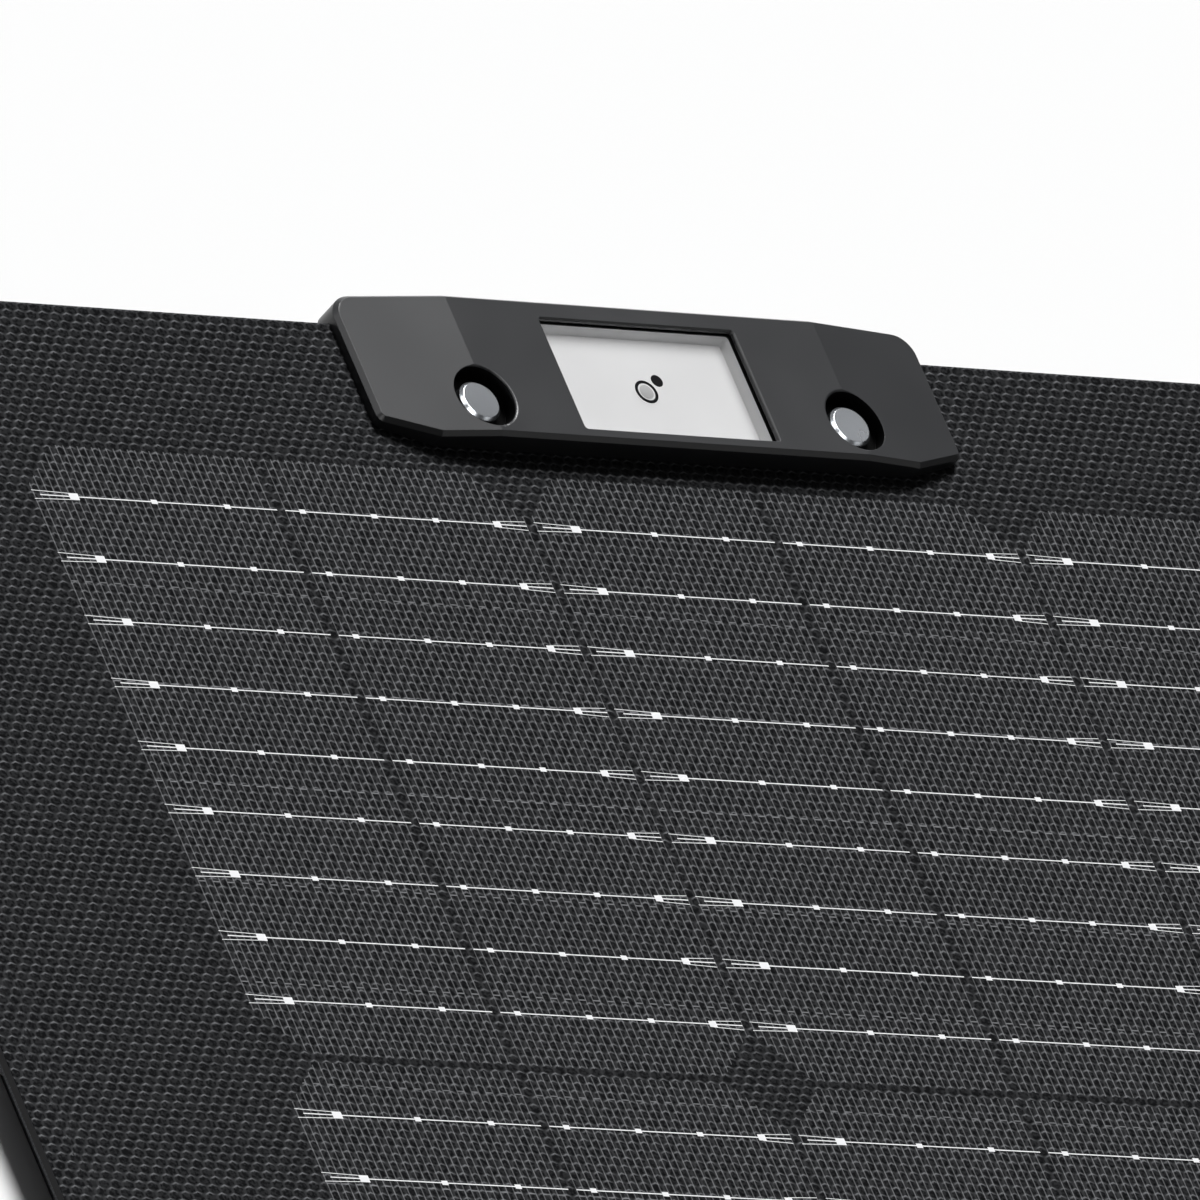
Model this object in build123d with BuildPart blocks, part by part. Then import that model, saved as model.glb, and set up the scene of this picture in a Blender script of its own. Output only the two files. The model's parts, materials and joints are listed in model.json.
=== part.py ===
from build123d import *
import math
import os

# Folding solar panel: two stiffened leaves joined by a narrow spine, with an aiming dial and magnet
# latch on the outer edge of the upper leaf and its mating latch on the outer edge of the lower leaf.
# Frame: millimetres. X runs along the busbars, Y from the lower leaf to the upper one, Z out of the
# front. The origin is on the ground, under the middle of the open panel.

# ---- driving dimensions: solar cells ----
half_cell_w = 91.0         # along X, a wafer cut in two
half_cell_l = 212.6        # along Y
cell_gap = 3.0
wafers_across = 3          # each wafer gives two half-cells side by side
cell_rows = 2
corner_cut = 15.0          # 45 degree cut on a wafer's outer corners
cell_t = 0.2
busbar_pitch = 22.0
busbar_end = 12.0          # least distance from the half-cell's end to a busbar
busbar_w = 0.5
busbar_t = 0.1
busbar_inset = 0.4         # from the half-cell's cut edges

# ---- driving dimensions: leaves and spine ----
margin_box_side = 100.0    # wide margin, with the junction box behind it
margin_far_side = 45.0
margin_end = 51.0          # from the cells to the leaf's outer and inner edges
film_t = 0.3
encapsulant_t = 0.8
board_t = 1.6
cloth_t = 0.6
rear_depth = 11.0          # from the ground to the back cloth
hinge_gap = 2.0            # from the fold line to the nearest edge of a leaf or of the spine
folded_clearance = 0.4     # between the two latch faces when the panel is shut
patch_leg = 44.0           # corner patches that carry the eyelets
patch_gap = 0.5
ribbon_w = 5.0
ribbon_t = 0.2
ribbon_to_cells = 8.0      # from the cells' outer edge to the middle of a collector ribbon
ribbon_to_box = 12.0       # from the junction box's middle to each lead, along X
ribbon_step = 10.0         # and along Y

# ---- driving dimensions: eyelets and bumpers ----
eyelet_inset = 14.0
eyelet_hole_r = 4.0
eyelet_barrel_r = 4.8
eyelet_flange_r = 8.0
eyelet_flange_t = 0.6
eyelet_clearance = 0.2
fit_clearance = 0.2        # round screws, screw heads and leads
bumper_r = 8.0
bumper_inset_x = 36.0
bumper_inset_y = 40.0
bumper_edge = 1.5

# ---- driving dimensions: latch modules (dial and mating latch share one outline) ----
module_l = 222.0
module_w = 50.0
module_h = 8.0             # above the front film
module_overhang = 7.8      # beyond the leaf's outer edge
module_end_h = 4.0
crease_x = 70.0            # the top slopes down from here to the ends
flank_x = 91.0             # the inner edge is straight up to here
flank_rise = 5.9
module_corner_r = 8.0
module_nose_r = 3.0
module_bevel = 1.3
module_wall = 1.6
module_roof = 1.5
skirt_clearance = 0.3
back_shell_t = 3.0
back_shell_bevel = 1.0
screw_xs = (50.0, 97.0)
screw_r = 1.5
screw_head_r = 2.8
screw_head_t = 1.4
screw_socket_r = 1.2       # six-sided socket in the head
screw_reach = 3.0          # into the posts, above the film
screw_hole_r = 1.9
post_r = 3.4

# ---- driving dimensions: aiming dial ----
window_w = 73.6
window_l = 39.1
window_v = -1.25           # from the middle of the module, negative towards the cells
target_v = -0.9            # middle of the ring, the spot and the dot
window_corner_r = 1.0
window_lip = 0.5
tray_floor_h = 1.3         # heights above the front film
tray_rim_h = 5.2
gasket_h = 5.6
window_top_h = 6.65
tray_floor_t = 1.0
tray_wall = 0.9
tray_flange_t = 1.0
tray_slope = 0.45          # how much the basin narrows on each side
ledge = 1.9                # flange, gasket and window reach this far under the rim
ledge_clearance = 0.1
frame_wall = 1.4
ring_outer_r = 4.05
ring_inner_r = 3.05
spot_r = 2.4
dot_r = 2.1
print_t = 0.1

# ---- driving dimensions: magnets and strikers ----
magnet_x = 70.5
magnet_v = -11.3
magnet_r = 7.0
magnet_top_h = 5.5
magnet_bottom_h = 2.0
magnet_edge = 0.9
recess_r = 10.4
recess_floor_h = 2.5
recess_lip = 0.8
cup_wall = 1.4
cup_floor_t = 1.5
boss_r = 9.6
boss_proud = 2.2
boss_edge = 0.8
striker_t = 1.6

# ---- driving dimensions: junction box ----
box_w = 70.0
box_l = 110.0
box_wall = 2.0
box_roof_t = 1.4
box_corner_r = 6.0
box_to_edge = 10.0         # from the leaf's long edge
box_cover_t = 1.6
box_gasket_t = 0.4
box_screw_inset = 5.0
box_post_r = 4.0
board_post_r = 3.0
circuit_t = 1.2
circuit_w = 40.0
circuit_l = 80.0
circuit_shift = 6.0        # towards the cells, clear of the socket
circuit_post_t = 1.0
circuit_post_inset = 4.0
diode_w = 8.0
diode_l = 6.0
diode_h = 2.5
diode_pitch = 26.0
box_screw_r = 1.4
box_screw_head_r = 2.5
box_screw_head_t = 0.9
box_screw_slot_w = 0.7
box_screw_l = 6.0
lead_hole_r = 3.4
socket_bore_r = 2.75
socket_barrel_r = 3.7
socket_flange_r = 4.8
socket_flange_t = 1.2
socket_depth = 10.0
socket_end_t = 1.5
socket_z = 5.9

# ---- driving dimensions: stands ----
stand_l = 330.0
stand_w = 260.0
stand_board_t = 2.4
stand_cover_t = 0.6
stand_corner_r = 12.0
stand_hinge_x = 140.0
stand_hinge_gap = 5.0      # from the pin to the near edge of the stand's board
knuckle_r = 3.3
knuckle_drop = 3.9         # from the back cloth to the pin's axis
knuckle_l = 16.0
knuckle_gap = 0.3
pin_r = 1.5
pin_clearance = 0.05
hinge_v = 95.0
plate_t = 1.2
plate_reach = 28.0
rivet_reach = 19.6         # from the pin to the row of rivets
plate_on_board = 0.6       # from the pin's axis up to the top of the stand's board
rivet_r = 2.2
rivet_head_t = 0.8
foot_w = 16.0
foot_l = 240.0
foot_grip = 8.0
foot_edge = 1.0

# ---- places that follow from them ----
pitch_x = half_cell_w + cell_gap
pitch_y = half_cell_l + cell_gap
busbar_count = 1 + int((half_cell_l - 2 * busbar_end) / busbar_pitch)
array_w = 2 * wafers_across * pitch_x - cell_gap
array_l = cell_rows * pitch_y - cell_gap
leaf_w = margin_box_side + array_w + margin_far_side
leaf_l = 2 * margin_end + array_l
array_x0 = -leaf_w / 2 + margin_box_side
array_x1 = array_x0 + array_w
sheet_t = cloth_t + board_t + encapsulant_t + film_t
z_back = rear_depth
z_board = z_back + cloth_t
z_encapsulant = z_board + board_t
z_film = z_encapsulant + encapsulant_t
z_front = z_film + film_t
z_fold = z_back + sheet_t / 2
spine_w = 2 * module_h + folded_clearance + sheet_t      # between the two fold lines
leaf_mid_y = spine_w / 2 + hinge_gap + leaf_l / 2
module_mid_y = leaf_mid_y + leaf_l / 2 + module_overhang - module_w / 2
module_on_leaf = module_mid_y - leaf_mid_y
box_x = -leaf_w / 2 + box_to_edge + box_w / 2
ribbon_far_x = box_x - ribbon_to_box
ribbon_near_x = box_x + ribbon_to_box
pin_z = z_back - knuckle_drop
stand_top_z = pin_z + plate_on_board
stand_x1 = stand_hinge_x - stand_hinge_gap
stand_x0 = stand_x1 - stand_l
hinge_l = 3 * knuckle_l

os.makedirs("parts", exist_ok=True)


def save(part, name):
    """Labels a finished piece and writes it to its own file."""
    part.label = name
    export_step(part, f"parts/{name}.step")


def leaf_plane(side, z):
    """Level plane on the middle of a leaf, its own +Y towards the leaf's outer edge.

    side is 1 for the upper leaf and -1 for the lower one. A place at x on the panel is side * x here."""
    return Plane(origin=(0, side * leaf_mid_y, z), x_dir=(side, 0, 0), z_dir=(0, 0, 1))


def module_plane(side, h):
    """Level plane on the middle of a latch module, h above the front film, +Y outwards."""
    return Plane(origin=(0, side * module_mid_y, z_front + h), x_dir=(side, 0, 0), z_dir=(0, 0, 1))


def corners(half_x, half_y):
    """The four corners of a rectangle about the origin."""
    return [(sx * half_x, sy * half_y) for sx in (-1, 1) for sy in (-1, 1)]


eyelet_spots = corners(leaf_w / 2 - eyelet_inset, leaf_l / 2 - eyelet_inset)
module_screw_spots = [(sx * x, module_on_leaf) for x in screw_xs for sx in (-1, 1)]


def half_cells(side):
    """Middle of each half-cell on the leaf's plane, with the side that its cut corners are on."""
    spots = []
    for column in range(2 * wafers_across):
        x = array_x0 + half_cell_w / 2 + column * pitch_x
        cut_side = -1 if column % 2 == 0 else 1
        for row in range(cell_rows):
            v = -array_l / 2 + half_cell_l / 2 + row * pitch_y
            spots.append((side * x, v, side * cut_side))
    return spots


def half_cell_faces(side):
    """Draws every half-cell of a leaf in the open sketch."""
    half_w = half_cell_w / 2
    half_l = half_cell_l / 2
    for u, v, cut in half_cells(side):
        outline = [
            (-cut * half_w, -half_l),
            (cut * (half_w - corner_cut), -half_l),
            (cut * half_w, corner_cut - half_l),
            (cut * half_w, half_l - corner_cut),
            (cut * (half_w - corner_cut), half_l),
            (-cut * half_w, half_l),
        ]
        with Locations((u, v)):
            Polygon(*outline, align=None)


def layer_holes():
    """Cuts the eyelet and module screw holes in the open sketch of a leaf's layer."""
    with Locations(*eyelet_spots):
        Circle(eyelet_barrel_r + eyelet_clearance, mode=Mode.SUBTRACT)
    with Locations(*module_screw_spots):
        Circle(screw_hole_r, mode=Mode.SUBTRACT)


def ribbon_strips(side):
    """Draws a leaf's two conductor nets in the open sketch: they never cross each other."""
    inner = -leaf_l / 2
    collector_x = array_x0 - ribbon_to_cells
    return_x = array_x1 + ribbon_to_cells
    return_v = inner + margin_end / 2
    runs = [
        # first net: collector beside the cells, over the box and down to the spine
        (collector_x, -array_l / 2, collector_x, array_l / 2),
        (ribbon_far_x, ribbon_step, collector_x, ribbon_step),
        (ribbon_far_x, inner, ribbon_far_x, ribbon_step),
        # second net: collector on the far side, and its return under the cells' inner edge
        (return_x, return_v, return_x, array_l / 2),
        (ribbon_near_x, return_v, return_x, return_v),
        (ribbon_near_x, inner, ribbon_near_x, -ribbon_step),
    ]
    for x0, v0, x1, v1 in runs:
        low = max(min(v0, v1) - ribbon_w / 2, inner)
        high = max(v0, v1) + ribbon_w / 2
        with Locations((side * (x0 + x1) / 2, (low + high) / 2)):
            Rectangle(abs(x1 - x0) + ribbon_w, high - low)


# ---------------------------------------------------------------- leaves
def make_leaf(side, name):
    """Film, encapsulant, cells, busbars, ribbons, board, corner patches, back cloth and eyelets."""
    with BuildPart() as film:
        with BuildSketch(leaf_plane(side, z_film)):
            Rectangle(leaf_w, leaf_l)
            layer_holes()
        extrude(amount=film_t)
    save(film.part, f"{name}_front_film")

    with BuildPart() as encapsulant:
        with BuildSketch(leaf_plane(side, z_encapsulant)):
            Rectangle(leaf_w, leaf_l)
            layer_holes()
        extrude(amount=encapsulant_t)
        with BuildSketch(leaf_plane(side, z_film)):
            half_cell_faces(side)
        extrude(amount=-(cell_t + busbar_t), mode=Mode.SUBTRACT)
        with BuildSketch(leaf_plane(side, z_encapsulant)):
            ribbon_strips(side)
        extrude(amount=ribbon_t, mode=Mode.SUBTRACT)
    save(encapsulant.part, f"{name}_encapsulant")

    with BuildPart() as cells:
        with BuildSketch(leaf_plane(side, z_film - busbar_t - cell_t)):
            half_cell_faces(side)
        extrude(amount=cell_t)
    save(cells.part, f"{name}_cells")

    first_bar = -(busbar_count - 1) / 2 * busbar_pitch
    bar_spots = [
        (u, v + first_bar + i * busbar_pitch)
        for u, v, _ in half_cells(side)
        for i in range(busbar_count)
    ]
    with BuildPart() as busbars:
        with BuildSketch(leaf_plane(side, z_film - busbar_t)):
            with Locations(*bar_spots):
                Rectangle(half_cell_w - 2 * busbar_inset, busbar_w)
        extrude(amount=busbar_t)
    save(busbars.part, f"{name}_busbars")

    with BuildPart() as ribbons:
        with BuildSketch(leaf_plane(side, z_encapsulant)):
            ribbon_strips(side)
        extrude(amount=ribbon_t)
        if side > 0:
            # two tabs reach down through the board into the junction box
            with BuildSketch(leaf_plane(side, z_encapsulant)):
                with Locations((ribbon_far_x, ribbon_step), (ribbon_near_x, -ribbon_step)):
                    Rectangle(ribbon_w, ribbon_t)
            extrude(amount=-(board_t + cloth_t + box_roof_t + circuit_post_t))
    save(ribbons.part, f"{name}_bus_ribbons")

    with BuildPart() as board:
        with BuildSketch(leaf_plane(side, z_board)) as outline:
            Rectangle(leaf_w, leaf_l)
            chamfer(outline.vertices(), patch_leg)
            with Locations(*module_screw_spots):
                Circle(screw_hole_r, mode=Mode.SUBTRACT)
            if side > 0:
                with Locations((ribbon_far_x, ribbon_step), (ribbon_near_x, -ribbon_step)):
                    Circle(lead_hole_r, mode=Mode.SUBTRACT)
        extrude(amount=board_t)
    save(board.part, f"{name}_board")

    leg = patch_leg - patch_gap
    with BuildPart() as patches:
        with BuildSketch(leaf_plane(side, z_board)):
            for x, y in corners(leaf_w / 2, leaf_l / 2):
                toward_x = x - math.copysign(leg, x)
                toward_y = y - math.copysign(leg, y)
                Polygon((x, y), (toward_x, y), (x, toward_y), align=None)
            with Locations(*eyelet_spots):
                Circle(eyelet_barrel_r + eyelet_clearance, mode=Mode.SUBTRACT)
        extrude(amount=board_t)
    save(patches.part, f"{name}_corner_patches")

    with BuildPart() as cloth:
        with BuildSketch(leaf_plane(side, z_back)):
            Rectangle(leaf_w, leaf_l)
            layer_holes()
            if side > 0:
                with Locations((ribbon_far_x, ribbon_step), (ribbon_near_x, -ribbon_step)):
                    Circle(lead_hole_r, mode=Mode.SUBTRACT)
        extrude(amount=cloth_t)
    save(cloth.part, f"{name}_back_cloth")

    with BuildPart() as eyelets:
        for z in (z_back - eyelet_flange_t, z_front):
            with BuildSketch(leaf_plane(side, z)):
                with Locations(*eyelet_spots):
                    Circle(eyelet_flange_r)
            extrude(amount=eyelet_flange_t)
        with BuildSketch(leaf_plane(side, z_back)):
            with Locations(*eyelet_spots):
                Circle(eyelet_barrel_r)
        extrude(amount=sheet_t)
        with BuildSketch(leaf_plane(side, z_back - eyelet_flange_t)):
            with Locations(*eyelet_spots):
                Circle(eyelet_hole_r)
        extrude(amount=sheet_t + 2 * eyelet_flange_t, mode=Mode.SUBTRACT)
    save(eyelets.part, f"{name}_eyelets")

    bumper_spots = corners(leaf_w / 2 - bumper_inset_x, leaf_l / 2 - bumper_inset_y)
    with BuildPart() as bumpers:
        with BuildSketch(leaf_plane(side, 0)):
            with Locations(*bumper_spots):
                Circle(bumper_r)
        extrude(amount=rear_depth)
        chamfer(bumpers.edges().group_by(Axis.Z)[0], bumper_edge)
    save(bumpers.part, f"{name}_bumpers")


make_leaf(1, "upper")
make_leaf(-1, "lower")

# ---------------------------------------------------------------- spine
spine_l = spine_w - 2 * hinge_gap


def spine_strip(z, thickness, width=leaf_w):
    """A level strip of the spine, between the two fold gaps."""
    with BuildPart() as strip:
        with BuildSketch(Plane.XY.offset(z)):
            Rectangle(width, spine_l)
        extrude(amount=thickness)
    return strip.part


save(spine_strip(z_back, cloth_t), "spine_back_cloth")
save(spine_strip(z_board, board_t), "spine_board")

with BuildPart() as spine_film:
    with BuildSketch(Plane.XY.offset(z_encapsulant)):
        Rectangle(leaf_w, spine_l)
    extrude(amount=encapsulant_t + film_t)
    with BuildSketch(Plane.XY.offset(z_encapsulant)):
        with Locations((ribbon_far_x, 0), (ribbon_near_x, 0)):
            Rectangle(ribbon_w, spine_l)
    extrude(amount=ribbon_t, mode=Mode.SUBTRACT)
save(spine_film.part, "spine_front_film")

with BuildPart() as spine_ribbons:
    with BuildSketch(Plane.XY.offset(z_encapsulant)):
        with Locations((ribbon_far_x, 0), (ribbon_near_x, 0)):
            Rectangle(ribbon_w, spine_l)
    extrude(amount=ribbon_t)
save(spine_ribbons.part, "spine_ribbons")


# ---------------------------------------------------------------- latch modules
def module_face(inset=0.0):
    """Draws the module's outline in the open sketch: straight outer edge, inner edge with cut flanks."""
    half_l = module_l / 2
    half_w = module_w / 2
    with BuildSketch(Plane.XY, mode=Mode.PRIVATE) as outline:
        Polygon(
            (-half_l, half_w),
            (-half_l, flank_rise - half_w),
            (-flank_x, -half_w),
            (flank_x, -half_w),
            (half_l, flank_rise - half_w),
            (half_l, half_w),
            align=None,
        )
        fillet(outline.vertices().group_by(Axis.Y)[-1], module_corner_r)
        fillet(outline.vertices().group_by(Axis.Y)[1], module_nose_r)
        if inset:
            offset(amount=-inset, kind=Kind.INTERSECTION)
    add(outline.sketch)


def cut_slopes(side, top_h):
    """Cuts both ends of the open part's top down to a slope that starts at the crease."""
    far_x = module_l / 2 + module_wall
    fall = (module_h - module_end_h) / (module_l / 2 - crease_x)
    low_h = top_h - fall * (far_x - crease_x)
    face_plane = Plane(origin=(0, side * module_mid_y, z_front), x_dir=(1, 0, 0), z_dir=(0, -1, 0))
    with BuildSketch(face_plane) as wedges:
        for end in (-1, 1):
            Polygon(
                (end * crease_x, top_h),
                (end * far_x, top_h),
                (end * far_x, low_h),
                align=None,
            )
    extrude(wedges.sketch, amount=module_w, both=True, mode=Mode.SUBTRACT)


def make_shell_body(side):
    """Closed outer form of a module, with its skirt past the leaf's edge and its bevelled top."""
    edge_v = module_w / 2 - module_overhang + skirt_clearance
    skirt_v = (edge_v + module_w / 2) / 2
    with BuildPart() as body:
        with BuildSketch(module_plane(side, 0)):
            module_face()
        extrude(amount=module_h)
        cut_slopes(side, module_h)
        tops = body.faces().filter_by(lambda f: f.normal_at().Z > 0.9)
        rim = [e for e in tops.edges() if len([f for f in tops if e in f.edges()]) == 1]
        chamfer(rim, module_bevel)
        with BuildSketch(module_plane(side, 0)):
            module_face()
            with Locations((0, skirt_v)):
                Rectangle(module_l, module_w / 2 - edge_v, mode=Mode.INTERSECT)
        extrude(amount=-sheet_t)
    return body.part


def make_hollow(side):
    """The space under a module's roof, before its posts and frames are left standing."""
    roof_h = module_h - module_roof
    with BuildPart() as hollow:
        with BuildSketch(module_plane(side, 0)):
            module_face(module_wall)
        extrude(amount=roof_h)
        cut_slopes(side, roof_h)
        with BuildSketch(module_plane(side, 0)):
            with Locations(*[(sx * x, 0) for x in screw_xs for sx in (-1, 1)]):
                Circle(post_r)
        extrude(amount=module_h, mode=Mode.SUBTRACT)
    return hollow.part


def cut_pilots(side):
    """Cuts the screws' pilot holes in the open module."""
    with BuildSketch(module_plane(side, 0)) as pilots:
        with Locations(*[(sx * x, 0) for x in screw_xs for sx in (-1, 1)]):
            Circle(screw_r)
    extrude(pilots.sketch, amount=screw_reach, mode=Mode.SUBTRACT)


magnet_spots = [(-magnet_x, magnet_v), (magnet_x, magnet_v)]


def window_face(grow=0.0):
    """Draws the window's rounded rectangle in the open sketch, grown on every side."""
    with Locations((0, window_v)):
        RectangleRounded(window_w + 2 * grow, window_l + 2 * grow, window_corner_r)


dial_body = make_shell_body(1)
dial_space = make_hollow(1)
with BuildPart() as dial_hollow:
    add(dial_space)
    with BuildSketch(module_plane(1, 0)):
        window_face(ledge + ledge_clearance + frame_wall)
    extrude(amount=module_h, mode=Mode.SUBTRACT)
    with BuildSketch(module_plane(1, recess_floor_h - cup_floor_t)):
        with Locations(*magnet_spots):
            Circle(recess_r + cup_wall)
    extrude(amount=module_h, mode=Mode.SUBTRACT)

with BuildPart() as dial_housing:
    add(dial_body)
    add(dial_hollow.part, mode=Mode.SUBTRACT)
    with BuildSketch(module_plane(1, 0)):
        window_face(ledge + ledge_clearance)
    extrude(amount=window_top_h, mode=Mode.SUBTRACT)
    with BuildSketch(module_plane(1, 0)):
        window_face()
    extrude(amount=module_h, mode=Mode.SUBTRACT)
    lip_edges = dial_housing.faces().group_by(Axis.Z)[-1].edges()
    lip_edges = lip_edges.filter_by(lambda e: abs(e.center().X) < window_w / 2 + window_lip)
    lip_edges = lip_edges.filter_by(
        lambda e: abs(e.center().Y - module_mid_y - window_v) < window_l / 2 + window_lip
    )
    chamfer(lip_edges, window_lip)
    with BuildSketch(module_plane(1, recess_floor_h)):
        with Locations(*magnet_spots):
            Circle(recess_r)
    extrude(amount=module_h, mode=Mode.SUBTRACT)
    for u, v in magnet_spots:
        rim_plane = Plane(origin=(u, module_mid_y + v, z_front), x_dir=(1, 0, 0), z_dir=(0, -1, 0))
        with BuildSketch(rim_plane):
            with BuildLine():
                Line((0, module_h - recess_lip), (recess_r, module_h - recess_lip))
                RadiusArc(
                    (recess_r, module_h - recess_lip),
                    (recess_r + recess_lip, module_h),
                    recess_lip,
                )
                Line((recess_r + recess_lip, module_h), (recess_r + recess_lip, module_h + 1))
                Line((recess_r + recess_lip, module_h + 1), (0, module_h + 1))
                Line((0, module_h + 1), (0, module_h - recess_lip))
            make_face()
        revolve(axis=Axis((u, module_mid_y + v, 0), (0, 0, 1)), mode=Mode.SUBTRACT)
    with BuildSketch(module_plane(1, magnet_bottom_h)):
        with Locations(*magnet_spots):
            Circle(magnet_r)
    extrude(amount=recess_floor_h - magnet_bottom_h, mode=Mode.SUBTRACT)
    cut_pilots(1)
save(dial_housing.part, "dial_housing")

with BuildPart() as magnets:
    with BuildSketch(module_plane(1, magnet_bottom_h)):
        with Locations(*magnet_spots):
            Circle(magnet_r)
    extrude(amount=magnet_top_h - magnet_bottom_h)
    chamfer(magnets.edges().group_by(Axis.Z)[-1], magnet_edge)
save(magnets.part, "dial_magnets")

tray_taper = math.degrees(math.atan2(tray_slope, tray_rim_h - tray_floor_h))
with BuildPart() as tray:
    with BuildSketch(module_plane(1, tray_floor_h - tray_floor_t)):
        window_face(tray_wall)
    extrude(amount=tray_rim_h - tray_floor_h + tray_floor_t)
    with BuildSketch(module_plane(1, tray_rim_h - tray_flange_t)):
        window_face(ledge)
    extrude(amount=tray_flange_t)
    with BuildSketch(module_plane(1, tray_rim_h)):
        window_face()
    extrude(amount=-(tray_rim_h - tray_floor_h), taper=tray_taper, mode=Mode.SUBTRACT)
save(tray.part, "dial_tray")

with BuildPart() as target_ring:
    with BuildSketch(module_plane(1, tray_floor_h)):
        with Locations((0, target_v)):
            Circle(ring_outer_r)
            Circle(ring_inner_r, mode=Mode.SUBTRACT)
    extrude(amount=print_t)
save(target_ring.part, "dial_target_ring")

with BuildPart() as target_spot:
    with BuildSketch(module_plane(1, tray_floor_h)):
        with Locations((0, target_v)):
            Circle(spot_r)
    extrude(amount=print_t)
save(target_spot.part, "dial_target_spot")

with BuildPart() as dial_gasket:
    with BuildSketch(module_plane(1, tray_rim_h)):
        window_face(ledge)
    extrude(amount=gasket_h - tray_rim_h)
    with BuildSketch(module_plane(1, tray_rim_h)):
        window_face()
    extrude(amount=gasket_h - tray_rim_h, mode=Mode.SUBTRACT)
save(dial_gasket.part, "dial_gasket")

with BuildPart() as dial_window:
    with BuildSketch(module_plane(1, gasket_h)):
        window_face(ledge)
    extrude(amount=window_top_h - gasket_h)
save(dial_window.part, "dial_window")

with BuildPart() as dial_dot:
    with BuildSketch(module_plane(1, window_top_h)):
        with Locations((0, target_v)):
            Circle(dot_r)
    extrude(amount=print_t)
save(dial_dot.part, "dial_dot")

boss_h = module_h + boss_proud
latch_body = make_shell_body(-1)
latch_space = make_hollow(-1)
with BuildPart() as latch_hollow:
    add(latch_space)
    with BuildSketch(module_plane(-1, 0)):
        with Locations(*magnet_spots):
            Circle(boss_r)
    extrude(amount=module_h, mode=Mode.SUBTRACT)

with BuildPart() as bosses:
    with BuildSketch(module_plane(-1, module_h / 2)):
        with Locations(*magnet_spots):
            Circle(boss_r)
    extrude(amount=boss_h - module_h / 2)
    chamfer(bosses.edges().group_by(Axis.Z)[-1], boss_edge)

with BuildPart() as latch_housing:
    add(latch_body)
    add(latch_hollow.part, mode=Mode.SUBTRACT)
    add(bosses.part)
    with BuildSketch(module_plane(-1, boss_h)):
        with Locations(*magnet_spots):
            Circle(magnet_r)
    extrude(amount=-striker_t, mode=Mode.SUBTRACT)
    cut_pilots(-1)
save(latch_housing.part, "latch_housing")

with BuildPart() as strikers:
    with BuildSketch(module_plane(-1, boss_h - striker_t)):
        with Locations(*magnet_spots):
            Circle(magnet_r)
    extrude(amount=striker_t)
save(strikers.part, "latch_strikers")


def make_back_shell(side, name):
    """Clamp plate under the sheet, with counterbored screw holes."""
    spots = [(sx * x, 0) for x in screw_xs for sx in (-1, 1)]
    with BuildPart() as shell:
        with BuildSketch(module_plane(side, -sheet_t)):
            module_face()
        extrude(amount=-back_shell_t)
        chamfer(shell.faces().sort_by(Axis.Z)[0].edges(), back_shell_bevel)
        with BuildSketch(module_plane(side, -sheet_t)):
            with Locations(*spots):
                Circle(screw_hole_r)
        extrude(amount=-back_shell_t, mode=Mode.SUBTRACT)
        with BuildSketch(module_plane(side, -sheet_t - back_shell_t)):
            with Locations(*spots):
                Circle(screw_head_r + fit_clearance)
        extrude(amount=screw_head_t, mode=Mode.SUBTRACT)
    save(shell.part, f"{name}_back_shell")

    with BuildPart() as screws:
        with BuildSketch(module_plane(side, -sheet_t - back_shell_t)):
            with Locations(*spots):
                Circle(screw_head_r)
                RegularPolygon(screw_socket_r, 6, mode=Mode.SUBTRACT)
        extrude(amount=screw_head_t)
        with BuildSketch(module_plane(side, -sheet_t - back_shell_t + screw_head_t / 2)):
            with Locations(*spots):
                Circle(screw_r)
        extrude(amount=back_shell_t - screw_head_t / 2 + sheet_t + screw_reach)
    save(screws.part, f"{name}_screws")


make_back_shell(1, "dial")
make_back_shell(-1, "latch")

# ---------------------------------------------------------------- junction box
box_base_z = box_cover_t + box_gasket_t
box_roof_z = z_back - box_roof_t
box_screw_spots = corners(box_w / 2 - box_screw_inset, box_l / 2 - box_screw_inset)
circuit_top_z = box_roof_z - circuit_post_t
circuit_spots = corners(circuit_w / 2 - circuit_post_inset, circuit_l / 2 - circuit_post_inset)


def box_plane(z, shift=0.0):
    """Level plane on the middle of the junction box, or of its circuit board."""
    return Plane(origin=(box_x + shift, leaf_mid_y, z), z_dir=(0, 0, 1))


socket_plane = Plane(
    origin=(box_x - box_w / 2, leaf_mid_y, socket_z), x_dir=(0, 1, 0), z_dir=(-1, 0, 0)
)

with BuildPart() as box_base:
    with BuildSketch(box_plane(box_base_z)):
        RectangleRounded(box_w, box_l, box_corner_r)
    extrude(amount=z_back - box_base_z)
    with BuildSketch(box_plane(box_base_z)):
        RectangleRounded(box_w - 2 * box_wall, box_l - 2 * box_wall, box_corner_r - box_wall)
        with Locations(*box_screw_spots):
            Circle(box_post_r, mode=Mode.SUBTRACT)
    extrude(amount=box_roof_z - box_base_z, mode=Mode.SUBTRACT)
    with BuildSketch(box_plane(circuit_top_z, circuit_shift)):
        with Locations(*circuit_spots):
            Circle(board_post_r)
    extrude(amount=circuit_post_t)
    with BuildSketch(leaf_plane(1, box_roof_z)):
        with Locations((ribbon_far_x, ribbon_step), (ribbon_near_x, -ribbon_step)):
            Circle(lead_hole_r)
    extrude(amount=box_roof_t, mode=Mode.SUBTRACT)
    with BuildSketch(box_plane(box_base_z)):
        with Locations(*box_screw_spots):
            Circle(box_screw_r)
    extrude(amount=box_screw_l, mode=Mode.SUBTRACT)
    with BuildSketch(socket_plane):
        Circle(socket_barrel_r)
    extrude(amount=-(socket_depth + socket_end_t - socket_flange_t), mode=Mode.SUBTRACT)
save(box_base.part, "box_base")

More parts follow.
